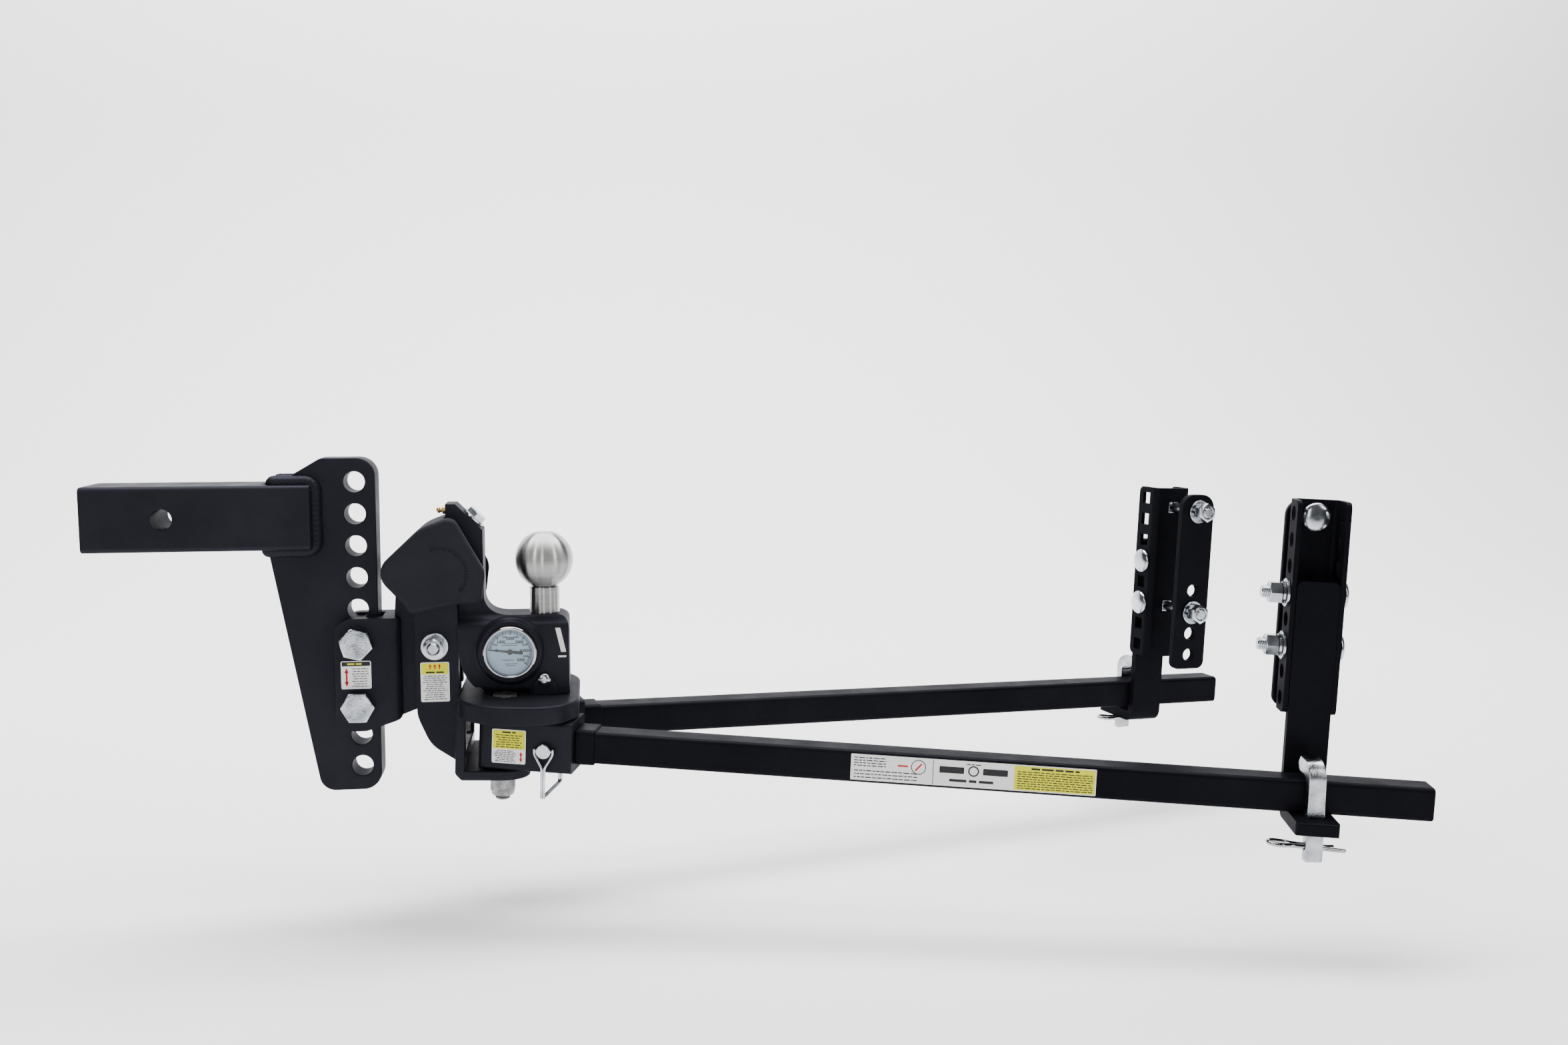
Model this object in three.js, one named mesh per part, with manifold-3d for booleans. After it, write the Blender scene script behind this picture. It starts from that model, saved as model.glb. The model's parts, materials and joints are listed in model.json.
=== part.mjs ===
// Weight distribution hitch: shank and drop plate, tilting ball head with a load gauge,
// two spring arms on king bolts and two frame brackets. Millimetres, +Z up.
// Origin: centre of the shank's receiver end. +X runs towards the trailer, +Y to the far side.
import * as THREE from "three";
import { mergeVertices } from "three/addons/utils/BufferGeometryUtils.js";
import Module from "manifold-3d";

const wasm = await Module();
wasm.setup();

// ---------- driving dimensions ----------
const INCH = 25.4;
const GAP = 0.35; // air left between pieces that touch

const SHANK = { side: 2.5 * INCH, length: 213, edge: 5, pinX: 74.6, pinDia: 20.6, slotX: 165 };
const PLATE = { thick: 28, left: 168.5, right: 273.2, top: 57, bottom: -277, toe: 213, neck: 221 };
const HOLE = { x: 252.8, z: 33.5, radius: 10.3 }; // topmost height hole
const PITCH = 1.25 * INCH; // height steps of the drop plate
const HOLES = 10;
const HEIGHT_BOLT = { dia: 0.75 * INCH, flats: 1.125 * INCH, head: 9.6, nut: 16.5, holes: [5, 7] };
const CLEVIS = { outer: 27, left: 229.5, web: 276, right: 294, top: -101, bottom: -214, boltHole: 9.9 };
const PIVOT = { x: 328, z: -130 }; // head tilt axis, along Y
const TONGUE = { half: 14.6, radius: 22 };
const CLAMP = { dia: 0.5 * INCH, flats: 0.75 * INCH, washer: 27, nut: 11, bushing: 19 };
const SIDE = { inner: 15, outer: 28, left: 309 }; // side plates of the head frame
const TRUNNION = { x: 304, z: -67, pin: 7.6 }; // nut of the tilt screw
const THRUST = { x: 355.5, z: -15.5, drum: 11.6 }; // bearing of the tilt screw
// seat and lower are distances along the screw from its bearing; lift is the air under its washer
const SCREW = { dia: 0.5 * INCH, flats: 0.75 * INCH, washer: 25, seat: 14.2, lift: 0.6, lower: -86 };
const TOWER = { left: 340, right: 376, half: 16, top: 10.5, foot: -30 }; // post that carries the bearing
const BALL = { x: 435.6, z: -48.1, radius: (2.3125 * INCH) / 2, post: 15, foot: -150 };
const BLOCK = { left: 351, right: 460, top: -101.7, bottom: -176.6, half: 32 };
const PISTON = { radius: 20, thick: 12.5 };
const LOCK = { x: 435, z: -165, head: 13, shank: 8 }; // button-head screw on the housing's face
// zero is the angle of the resting pointer above the level, in radians
const GAUGE = { x: 402, z: -135.6, bezel: 26.3, boss: 31.5, bossFace: -39.5, swell: 50.5, zero: 0.21 };
const KING = { x: 394.2, y: 34.2, z: -224.1, dia: 0.625 * INCH, flats: 0.9375 * INCH };
const DROOP = THREE.MathUtils.degToRad(2.33); // the arms hang this much below level
const SPLAY = THREE.MathUtils.degToRad(13.73); // each arm turns out this much from the centre line
const YOKE = { left: -45.5, back: 9.5, under: 26, over: 45, low: -36, lowTop: -26.4, half: 57 };
const SOCKET = { left: -19.5, right: 75.5, half: 25.4, mouth: 16.6, depth: 18 };
const ARM = { side: 1.25 * INCH, end: 891.6, edge: 4.5, collar: 96 };
const PIN = { x: 48.5, z: -2.5, dia: 12.7, head: 15, tip: 29.5 };
const BAIL = { wire: 2.6, drop: -49.5, reach: 32.4, neck: -16, hingeY: -29.2 };
const BRACKET = { along: 781, pitch: INCH, rows: 8, boltRows: [3, 5] };
const CHANNEL = { half: 24.8, wall: 4.5, front: 18, back: 52, height: 204, topRow: 13.2 };
const HANGER = {
  half: 19.8, front: 17, thick: 8.2, cheek: 5.2, cheekBack: 44.8, foot: 12.3, reach: -46, bend: 14,
};
const SIDE_BOLT = { dia: 0.5 * INCH, depth: 32.2, dome: 14, domeHeight: 6, end: 50 };
const NUT = { flats: 0.75 * INCH, thick: 12, washer: 27, washerThick: 2.6, spring: 21, springThick: 3.2 };
const CARRIAGE = { square: 12.6, squareHole: 13.4, roundHole: 14.6 };
const STRAP = { half: 22, thick: 8, height: 206, spacing: 119, boltEnd: 119 };
const KEEPER = {
  wide: 16.4, thick: 9.4, centre: 0.9, leg: -23.2, foot: -58.5, top: 36.6, turn: 17, yaw: 8, lean: 1.2,
};
const CLIP = { wire: 3.4, z: -45.5, fall: 0.1 };
// height settings that differ between the two brackets
const NEAR = {
  side: -1, channelTop: 275.2, hangerDrop: 0, frameBolt: 17.2, keeperLift: 0, strapFront: 72, strapAbove: 15,
};
const FAR = {
  side: 1, channelTop: 257.5, hangerDrop: 5, frameBolt: 23, keeperLift: 7, strapFront: 92, strapAbove: 19.5,
};

// ---------- materials ----------
const finish = (color, roughness, metalness) =>
  new THREE.MeshStandardMaterial({ color, roughness, metalness });
const COAT = finish(0x1d1e24, 0.55, 0.2); // satin black powder coat
const RUBBER = finish(0x202126, 0.8, 0.0);
const ZINC = finish(0xc9ced6, 0.3, 0.95);
const GALVANISED = finish(0x9a9b9c, 0.5, 0.8);
const STAINLESS = finish(0xb4b2ae, 0.3, 1.0);
const CHROME = finish(0xd8dade, 0.1, 1.0);
const BRASS = finish(0xb08d4a, 0.35, 1.0);
const STEEL = finish(0x77797d, 0.4, 0.9);
const DIAL = finish(0xe4edf4, 0.6, 0.0);
const POINTER = finish(0x101010, 0.5, 0.2);
const LENS = finish(0xf2f6f8, 0.05, 0.0);

// ---------- solids ----------
function solid(geometry) {
  const bare = geometry.index ? geometry.toNonIndexed() : geometry.clone();
  bare.deleteAttribute("normal");
  bare.deleteAttribute("uv");
  const merged = mergeVertices(bare, 1e-4);
  const vertProperties = new Float32Array(merged.attributes.position.array);
  const triVerts = new Uint32Array(merged.index.array);
  return new wasm.Manifold(new wasm.Mesh({ numProp: 3, vertProperties, triVerts }));
}

function geometryOf(body) {
  const { vertProperties, triVerts } = body.getMesh();
  const geometry = new THREE.BufferGeometry();
  geometry.setAttribute("position", new THREE.BufferAttribute(vertProperties, 3));
  geometry.setIndex(new THREE.BufferAttribute(triVerts, 1));
  return geometry;
}

const join = (...bodies) => bodies.reduce((sum, body) => sum.add(body));
const cut = (body, ...tools) => tools.reduce((rest, tool) => rest.subtract(tool), body);

const ALONG_X = new THREE.Matrix4().makeBasis(
  new THREE.Vector3(0, 1, 0),
  new THREE.Vector3(0, 0, 1),
  new THREE.Vector3(1, 0, 0),
);
const ALONG_Y = new THREE.Matrix4().makeBasis(
  new THREE.Vector3(0, 0, 1),
  new THREE.Vector3(1, 0, 0),
  new THREE.Vector3(0, 1, 0),
);

// A shape swept from one height to another along Z.
function extrude(shape, from, to, steps) {
  const options = { depth: to - from, bevelEnabled: false, curveSegments: steps };
  return new THREE.ExtrudeGeometry(shape, options).translate(0, 0, from);
}

const prismZ = (shape, from, to, steps = 6) => solid(extrude(shape, from, to, steps));
// Outline given as (y, z), swept along X.
const prismX = (shape, from, to, steps = 6) =>
  solid(extrude(shape, from, to, steps).applyMatrix4(ALONG_X));
// Outline given as (x, z), swept along Y.
const prismY = (shape, from, to, steps = 6) =>
  solid(extrude(shape, from, to, steps).rotateX(Math.PI / 2).translate(0, to + from, 0));

function outline(points) {
  return new THREE.Shape(points.map(([x, y]) => new THREE.Vector2(x, y)));
}

// A closed outline whose corners are rounded: each point is [x, y, radius].
function rounded(points) {
  const shape = new THREE.Shape();
  points.forEach(([x, y, radius = 0], i) => {
    const before = points[(i + points.length - 1) % points.length];
    const after = points[(i + 1) % points.length];
    const corner = new THREE.Vector2(x, y);
    const toBefore = new THREE.Vector2(before[0], before[1]).sub(corner).normalize();
    const toAfter = new THREE.Vector2(after[0], after[1]).sub(corner).normalize();
    const half = Math.acos(THREE.MathUtils.clamp(toBefore.dot(toAfter), -1, 1)) / 2;
    const back = radius / Math.tan(half);
    const start = corner.clone().addScaledVector(toBefore, back);
    const end = corner.clone().addScaledVector(toAfter, back);
    if (i === 0) shape.moveTo(start.x, start.y);
    else shape.lineTo(start.x, start.y);
    if (radius > 0) {
      const middle = toBefore.clone().add(toAfter).normalize();
      const centre = corner.clone().addScaledVector(middle, radius / Math.sin(half));
      const a0 = Math.atan2(start.y - centre.y, start.x - centre.x);
      const a1 = Math.atan2(end.y - centre.y, end.x - centre.x);
      const turn = toBefore.cross(toAfter) > 0;
      shape.absarc(centre.x, centre.y, radius, a0, a1, turn);
    }
  });
  shape.closePath();
  return shape;
}

const rect = (x0, x1, y0, y1, radius = 0) =>
  rounded([[x0, y0, radius], [x1, y0, radius], [x1, y1, radius], [x0, y1, radius]]);

const box = (x0, x1, y0, y1, z0, z1) => prismZ(rect(x0, x1, y0, y1), z0, z1);

function cylinderZ(x, y, radius, z0, z1, sides = 16) {
  const body = new THREE.CylinderGeometry(radius, radius, z1 - z0, sides).rotateX(Math.PI / 2);
  return solid(body.translate(x, y, (z0 + z1) / 2));
}

function cylinderY(x, z, radius, y0, y1, sides = 16) {
  const body = new THREE.CylinderGeometry(radius, radius, y1 - y0, sides);
  return solid(body.translate(x, (y0 + y1) / 2, z));
}

function cylinderX(y, z, radius, x0, x1, sides = 16) {
  const body = new THREE.CylinderGeometry(radius, radius, x1 - x0, sides).rotateZ(-Math.PI / 2);
  return solid(body.translate((x0 + x1) / 2, y, z));
}

const hexRadius = (flats) => flats / Math.sqrt(3);

// A turned piece: profile points are [radius, height], closed on the axis, standing along Z.
function turned(profile, sides = 16) {
  const points = profile.map(([r, z]) => new THREE.Vector2(r, z));
  return new THREE.LatheGeometry(points, sides).rotateX(Math.PI / 2);
}

// A round wire swept along hand-placed points; the ends are closed by the extrusion.
function wire(points, dia, steps, sides = 8) {
  const path = new THREE.CatmullRomCurve3(points.map((p) => new THREE.Vector3(...p)), false, "centripetal");
  const section = new THREE.Shape();
  for (let i = 0; i < sides; i++) {
    const angle = (2 * Math.PI * i) / sides;
    const x = (dia / 2) * Math.cos(angle);
    const y = (dia / 2) * Math.sin(angle);
    if (i === 0) section.moveTo(x, y);
    else section.lineTo(x, y);
  }
  section.closePath();
  return solid(new THREE.ExtrudeGeometry(section, { steps, extrudePath: path, bevelEnabled: false }));
}

function mesh(name, body, material) {
  const piece = new THREE.Mesh(geometryOf(body), material);
  piece.name = name;
  return piece;
}

// ---------- shank, drop plate and clevis ----------
function shankBar() {
  const half = SHANK.side / 2;
  const bar = prismX(rect(-half, half, -half, half, SHANK.edge), 0, SHANK.length, 2);
  const bore = cylinderY(SHANK.pinX, 0, SHANK.pinDia / 2, -half - 1, half + 1, 16);
  const slotHalf = PLATE.thick / 2 + GAP;
  const slot = box(SHANK.slotX - GAP, SHANK.length + 1, -slotHalf, slotHalf, -half - 1, half + 1);
  return mesh("shank_bar", cut(bar, bore, slot), COAT);
}

function dropPlate() {
  const half = PLATE.thick / 2;
  const side = rounded([
    [PLATE.left, -30],
    [PLATE.toe, PLATE.bottom, 16],
    [PLATE.right - 2, PLATE.bottom, 18],
    [PLATE.right, PLATE.top, 18],
    [PLATE.neck, PLATE.top, 9],
    [PLATE.left, 26],
  ]);
  let plate = prismY(side, -half, half, 4);
  for (let i = 0; i < HOLES; i++) {
    const z = HOLE.z - PITCH * i;
    plate = cut(plate, cylinderY(HOLE.x, z, HOLE.radius, -half - 1, half + 1, 12));
  }
  return mesh("drop_plate", plate, COAT);
}

function clevisBracket() {
  const { outer, left, web, right, top, bottom, boltHole } = CLEVIS;
  const cheek = rounded([
    [left, top, 20],
    [left, bottom, 20],
    [260, bottom, 6],
    [right, -203],
    [right, top],
  ]);
  const shell = prismY(cheek, -outer, outer, 3);
  const slotHalf = PLATE.thick / 2 + GAP;
  const plateSlot = box(left - 1, web, -slotHalf, slotHalf, bottom - 9, top + 9);
  const { half, radius } = TONGUE;
  const tongueShape = rounded([
    [right - 2, top],
    [right - 2, -202.5],
    [311, -194.5, 5],
    [323, PIVOT.z - radius, 9],
    [PIVOT.x + radius, PIVOT.z - radius, radius - 0.5],
    [PIVOT.x + radius, PIVOT.z + radius, radius - 0.5],
    [320, PIVOT.z + radius, 6],
    [309, top, 5],
  ]);
  const tongue = prismY(tongueShape, -half, half, 2);
  const earTop = TRUNNION.z + 13;
  const ear = rounded([
    [web + 12, top - 6],
    [312, top - 6],
    [TRUNNION.x + 12, earTop, 10],
    [TRUNNION.x - 13, earTop, 10],
  ]);
  const ears = prismY(ear, -half, half, 2);
  const screwRoom = box(web, 350, -8.4, 8.4, top + 3, -40);
  const pinBore = cylinderY(TRUNNION.x, TRUNNION.z, TRUNNION.pin + 0.4, -20, 20, 16);
  const pivotBore = cylinderY(PIVOT.x, PIVOT.z, CLAMP.bushing / 2 + GAP, -20, 20, 16);
  const body = cut(join(cut(shell, plateSlot), tongue, ears), screwRoom, pinBore, pivotBore);
  const bolts = HEIGHT_BOLT.holes.map((i) =>
    cylinderY(HOLE.x, HOLE.z - PITCH * i, boltHole, -outer - 1, outer + 1, 16));
  return mesh("clevis_bracket", cut(body, ...bolts), COAT);
}

function heightBolt(name, hole) {
  const z = HOLE.z - PITCH * hole;
  const { dia, flats, head } = HEIGHT_BOLT;
  const face = -CLEVIS.outer - GAP;
  const hex = cylinderY(HOLE.x, z, hexRadius(flats), face - head, face, 6);
  const shank = cylinderY(HOLE.x, z, dia / 2, face - 1, 50, 16);
  return mesh(name, join(hex, shank), ZINC);
}

function heightNut(name, hole) {
  const z = HOLE.z - PITCH * hole;
  const from = CLEVIS.outer + GAP;
  const hex = cylinderY(HOLE.x, z, hexRadius(HEIGHT_BOLT.flats), from, from + HEIGHT_BOLT.nut, 6);
  const bore = cylinderY(HOLE.x, z, HEIGHT_BOLT.dia / 2 + GAP, from - 1, from + 30, 16);
  return mesh(name, cut(hex, bore), ZINC);
}

// ---------- head frame and its tilt adjuster ----------
function headFrame() {
  const side = rounded([
    [SIDE.left, -72, 12],
    [SIDE.left, -194, 10],
    [319, -224, 30],
    [345.6, -247, 0],
    [348.4, -175.6, 0],
    [BLOCK.left - GAP, -175.6, 0],
    [BLOCK.left - GAP, -34, 0],
    [330, -34, 10],
  ]);
  const web = rounded([[334, -158, 4], [334, -232, 4], [346, -240, 0], [348.6, -158, 0]]);
  const plates = prismY(side, -SIDE.outer, SIDE.outer, 4);
  const between = box(SIDE.left - 9, BLOCK.left + 9, -SIDE.inner, SIDE.inner, -260, 0);
  const bore = cylinderY(PIVOT.x, PIVOT.z, CLAMP.dia / 2 + GAP, -40, 40, 16);
  const body = join(cut(plates, between), prismY(web, -SIDE.inner - 1, SIDE.inner + 1, 2));
  return mesh("head_frame", cut(body, bore), COAT);
}

function clampBolt() {
  const head = cylinderY(PIVOT.x, PIVOT.z, hexRadius(CLAMP.flats), SIDE.outer + GAP, SIDE.outer + 8.5, 6);
  const shank = cylinderY(PIVOT.x, PIVOT.z, CLAMP.dia / 2, -SIDE.outer - 17, SIDE.outer + 1, 16);
  return mesh("clamp_bolt", join(head, shank), ZINC);
}

function clampNut() {
  const face = -SIDE.outer - GAP;
  const washer = cylinderY(PIVOT.x, PIVOT.z, CLAMP.washer / 2, face - 2.6, face, 24);
  const hex = cylinderY(PIVOT.x, PIVOT.z, hexRadius(CLAMP.flats), face - 2.6 - CLAMP.nut, face - 2, 6);
  const bore = cylinderY(PIVOT.x, PIVOT.z, CLAMP.dia / 2 + GAP, face - 20, face + 1, 16);
  return mesh("clamp_nut", cut(join(washer, hex), bore), ZINC);
}

function pivotBushing() {
  const sleeve = cylinderY(PIVOT.x, PIVOT.z, CLAMP.bushing / 2, -TONGUE.half, TONGUE.half, 20);
  const bore = cylinderY(PIVOT.x, PIVOT.z, CLAMP.dia / 2 + GAP, -20, 20, 16);
  return mesh("pivot_bushing", cut(sleeve, bore), BRASS);
}

// A solid standing along +Z, laid on the tilt screw's axis and moved to a place on it.
function alongScrew(geometry, x, z) {
  return solid(geometry.rotateY(Math.PI / 4).translate(x, 0, z));
}

function trunnionNut() {
  const { x, z } = TRUNNION;
  const block = alongScrew(new THREE.BoxGeometry(20, 15.6, 20), x, z);
  const pins = cylinderY(x, z, TRUNNION.pin, -TONGUE.half + 0.2, TONGUE.half - 0.2, 16);
  const bore = alongScrew(turned([[0, -30], [7.2, -30], [7.2, 30], [0, 30]]), x, z);
  return mesh("trunnion_nut", cut(join(block, pins), bore), STEEL);
}

function thrustBlock() {
  const { x, z } = THRUST;
  const drum = cylinderY(x, z, THRUST.drum, -13.5, 13.5, 16);
  const bore = alongScrew(turned([[0, -30], [6.8, -30], [6.8, 30], [0, 30]]), x, z);
  return mesh("thrust_block", cut(drum, bore), BRASS);
}

function leadScrew() {
  const { x, z } = THRUST;
  const { dia, flats, washer, lower } = SCREW;
  const r = dia / 2;
  const seat = SCREW.seat + SCREW.lift;
  const shaft = turned([[0, lower], [r - 2, lower], [r, lower + 3], [r, seat + 1], [0, seat + 1]]);
  const disc = turned([[0, seat], [washer / 2, seat], [washer / 2, seat + 2.4], [0, seat + 2.4]]);
  const corner = hexRadius(flats);
  const drive = turned([[0, seat + 2], [corner, seat + 2], [corner, seat + 8], [0, seat + 8]], 6);
  return mesh("lead_screw", join(...[shaft, disc, drive].map((body) => alongScrew(body, x, z))), ZINC);
}

function greaseFitting() {
  const profile = [[0, 0], [4.2, 0], [4.2, 3.5], [2.4, 4], [2.4, 6.5], [3.2, 7.6], [1.6, 9.6], [0, 9.6]];
  const lying = turned(profile, 12).rotateY(-Math.PI / 2);
  return mesh("grease_fitting", solid(lying.translate(TOWER.left - GAP, 0, 3.4)), BRASS);
}

function rubberCover() {
  const face = rounded([
    [270.7, -54.5, 19],
    [317, -10.9, 40],
    [348.5, 0.6, 11],
    [379, -55, 20],
    [375, -86.3, 4],
    [350, -87.6, 60],
    [306.5, -96.4, 4],
    [299.3, -86, 6],
  ]);
  const innerFace = rounded([
    [287, -60, 8],
    [334, -8, 4],
    [351, -8, 4],
    [369, -50, 12],
    [370, -120],
    [287, -120],
  ]);
  const hollow = SIDE.outer + 0.5;
  const shell = prismY(face, -38, 38, 6);
  const inside = prismY(innerFace, -hollow, hollow, 3);
  const towerRoom = box(TOWER.left - 1, 400, -hollow, hollow, -130, 30);
  const plateRoom = box(260, 290, -PLATE.thick / 2 - 1.5, PLATE.thick / 2 + 1.5, -130, -40);
  return mesh("rubber_cover", cut(shell, inside, towerRoom, plateRoom), RUBBER);
}

// Height of the yoke's sloping deck under a point x of the head.
const deck = (x) => KING.z + YOKE.over * Math.cos(DROOP) - (x - KING.x) * Math.tan(DROOP);

// ---------- ball housing and load gauge ----------
function ballHousing() {
  const { left, right, top, half } = BLOCK;
  const swellEnd = Math.PI * 1.3;
  const slant = THRUST.x + THRUST.z + SCREW.seat * Math.SQRT2; // x + z on the face under the screw's washer
  const side = new THREE.Shape();
  side.moveTo(TOWER.left, TOWER.top);
  side.lineTo(TOWER.left, TOWER.foot);
  side.lineTo(left, TOWER.foot - 4);
  side.lineTo(left, GAUGE.z);
  side.absarc(GAUGE.x, GAUGE.z, GAUGE.swell, Math.PI, swellEnd, false);
  side.lineTo(374, deck(374) + GAP);
  side.lineTo(right, deck(right) + GAP);
  side.lineTo(right, top - 11);
  side.absarc(right - 11, top - 11, 11, 0, Math.PI / 2, false);
  side.lineTo(402, top);
  side.quadraticCurveTo(379, top, TOWER.right, -84);
  side.lineTo(TOWER.right, slant - TOWER.right);
  side.lineTo(slant - TOWER.top, TOWER.top);
  side.closePath();
  const crowned = outline([
    [-half, -190], [half, -190], [half, top - 9], [15, top], [-15, top], [-half, top - 9],
  ]);
  const tower = box(330, TOWER.right + 0.1, -TOWER.half, TOWER.half, top - 12, 20);
  const section = join(prismX(crowned, 330, 500), tower);
  const boss = cylinderY(GAUGE.x, GAUGE.z, GAUGE.boss, GAUGE.bossFace, -20, 24);
  const post = cylinderZ(BALL.x, 0, BALL.post + GAP, BALL.foot - 6, top + 20, 16);
  const bore = cylinderZ(BALL.x, 0, PISTON.radius + GAP, -200, BALL.foot + 0.5, 20);
  const pocket = cylinderY(GAUGE.x, GAUGE.z, GAUGE.bezel + GAP, GAUGE.bossFace - 5, -22, 24);
  const drum = cylinderY(THRUST.x, THRUST.z, THRUST.drum + 0.4, -14, 14, 16);
  const tunnel = alongScrew(turned([[0, -60], [10, -60], [10, 0], [0, 0]]), THRUST.x, THRUST.z);
  const mouth = alongScrew(turned([[0, -1], [8.4, -1], [8.4, 40], [0, 40]]), THRUST.x, THRUST.z);
  const screwHole = cylinderY(LOCK.x, LOCK.z, LOCK.shank / 2 + GAP, -half - 1, -half + 9, 12);
  const liftedTo = 421; // the lower edge stands clear of the deck as far as here
  const relief = outline([
    [left - 1, -190], [liftedTo, -190], [liftedTo, deck(liftedTo) + 6.5], [left - 1, deck(left) + 6.5],
  ]);
  const reliefs = [prismY(relief, -40, -17), prismY(relief, 17, 40)];
  const body = cut(join(prismY(side, -half, half, 4).intersect(section), boss), ...reliefs);
  return mesh("ball_housing", cut(body, post, bore, pocket, drum, tunnel, mouth, screwHole), COAT);
}

function towBall() {
  const { x, z, radius, post, foot } = BALL;
  const flat = Math.acos(11 / radius);
  const neck = -Math.acos(11.9 / radius);
  const steps = 8;
  const profile = [[0, foot - z], [post, foot - z], [post, -30.5], [13, -27.6], [11.9, -26.9]];
  for (let i = 1; i <= steps; i++) {
    const angle = neck + ((flat - neck) * i) / steps;
    profile.push([radius * Math.cos(angle), radius * Math.sin(angle)]);
  }
  profile.push([0, radius * Math.sin(flat)]);
  return mesh("tow_ball", solid(turned(profile, 18).translate(x, 0, z)), STAINLESS);
}

function loadPiston() {
  const from = BALL.foot - GAP;
  return mesh("load_piston", cylinderZ(BALL.x, 0, PISTON.radius, from - PISTON.thick, from, 20), STEEL);
}

function cylinderCap() {
  const under = deck(BALL.x + PISTON.radius) + 2;
  return mesh("cylinder_cap", cylinderZ(BALL.x, 0, PISTON.radius, under, under + 9, 20), STEEL);
}

function lockScrew() {
  const face = -BLOCK.half - GAP;
  const head = [[0, 0], [LOCK.head / 2, 0], [LOCK.head / 2, 1.4], [LOCK.head / 2 - 3, 4], [0, 4]];
  const dome = solid(turned(head, 18).rotateX(Math.PI / 2).translate(LOCK.x, face, LOCK.z));
  const key = cylinderY(LOCK.x, LOCK.z, 2.4, face - 5, face - 1.6, 6);
  const shank = cylinderY(LOCK.x, LOCK.z, LOCK.shank / 2, face - 0.5, face + 8, 12);
  return mesh("lock_screw", cut(join(dome, shank), key), ZINC);
}

function gauge(group) {
  const { x, z, bezel, bossFace } = GAUGE;
  const front = bossFace - 4;
  const back = -22.5;
  const can = cylinderY(x, z, bezel, front, back, 24);
  const room = cylinderY(x, z, bezel - 3, front - 1, back - 4, 24);
  group.add(mesh("gauge_case", cut(can, room), CHROME));
  const dialFace = bossFace + 1.5;
  const dial = cylinderY(x, z, bezel - 3.4, dialFace, back - 4 - GAP, 20);
  const arbor = cylinderY(x, z, 1.4, dialFace - 2, back, 10);
  group.add(mesh("gauge_dial", cut(dial, arbor), DIAL));
  const blade = outline([[-19, -0.3], [12.5, -1.3], [12.5, 1.3], [-19, 0.3]]);
  const [blackFace, underside] = [dialFace - 1.1, dialFace - 0.5];
  const level = extrude(blade, blackFace, underside, 1).rotateX(Math.PI / 2);
  const turnedBlade = level.translate(0, blackFace + underside, 0).rotateY(GAUGE.zero);
  const pointer = solid(turnedBlade.translate(x, 0, z));
  const hub = cylinderY(x, z, 2.6, dialFace - 1.6, dialFace - 0.5, 12);
  const pin = cylinderY(x, z, 1, dialFace - 1, dialFace + 6, 8);
  group.add(mesh("gauge_needle", join(pointer, hub, pin), POINTER));
  const lens = cylinderY(x, z, bezel - 3.4, front + 1, front + 2.4, 20);
  group.add(mesh("gauge_lens", lens, LENS));
}

// ---------- socket yoke, sockets and arms, in a drooping frame centred between the king bolts ----------
function socketYoke() {
  const { left, back, under, over, low, lowTop, half } = YOKE;
  const deckShape = new THREE.Shape();
  const lean = Math.acos((7.8 - left) / 55.5);
  deckShape.moveTo(left, -36 - 55.5 * Math.sin(lean));
  deckShape.absarc(7.8, -36, 55.5, Math.PI + lean, Math.PI * 1.5, false);
  deckShape.absarc(23.8, -41.5, 50, -Math.PI / 2, 0, false);
  deckShape.absarc(23.8, 41.5, 50, 0, Math.PI / 2, false);
  deckShape.absarc(7.8, 36, 55.5, Math.PI / 2, Math.PI - lean, false);
  deckShape.closePath();
  const plate = prismZ(deckShape, under, over, 5);
  const floor = prismZ(rounded([[left, -61, 3], [27, -61, 27], [27, 61, 27], [left, 61, 3]]), low, lowTop, 4);
  const wall = prismY(rounded([[left, low, 8], [left + back, low], [left + back, over], [left, over, 4]]),
    -half, half, 2);
  const chamfered = outline([[left - 1, -37], [left + back + 1, -50], [left + back + 1, 50], [left - 1, 37]]);
  const window = prismZ(chamfered, -14, under);
  const chamfer = prismY(outline([[left - 1, low - 1], [left + 8, low - 1], [left - 1, low + 8]]), -70, 70);
  let body = cut(join(plate, wall, floor), window, chamfer);
  for (const y of [-KING.y, KING.y]) {
    const bore = cylinderZ(0, y, KING.dia / 2 + GAP, low - 1, over + 1, 16);
    const sink = cylinderZ(0, y, hexRadius(KING.flats) + 1.3, over - 11, over + 1, 20);
    body = cut(body, bore, sink);
  }
  return mesh("socket_yoke", body, COAT);
}

function kingBolt(side, y) {
  const seat = YOKE.over - 11 + GAP;
  const head = cylinderZ(0, y, hexRadius(KING.flats), seat, seat + 11.4, 6);
  const shank = cylinderZ(0, y, KING.dia / 2, YOKE.low - 25, seat + 1, 14);
  return mesh(`${side}_king_bolt`, join(head, shank), GALVANISED);
}

function kingNut(side, y) {
  const top = YOKE.low - GAP;
  const hex = cylinderZ(0, y, hexRadius(KING.flats), top - 20.5, top, 6);
  const bore = cylinderZ(0, y, KING.dia / 2 + GAP, top - 30, top + 1, 14);
  return mesh(`${side}_king_nut`, cut(hex, bore), GALVANISED);
}

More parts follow.
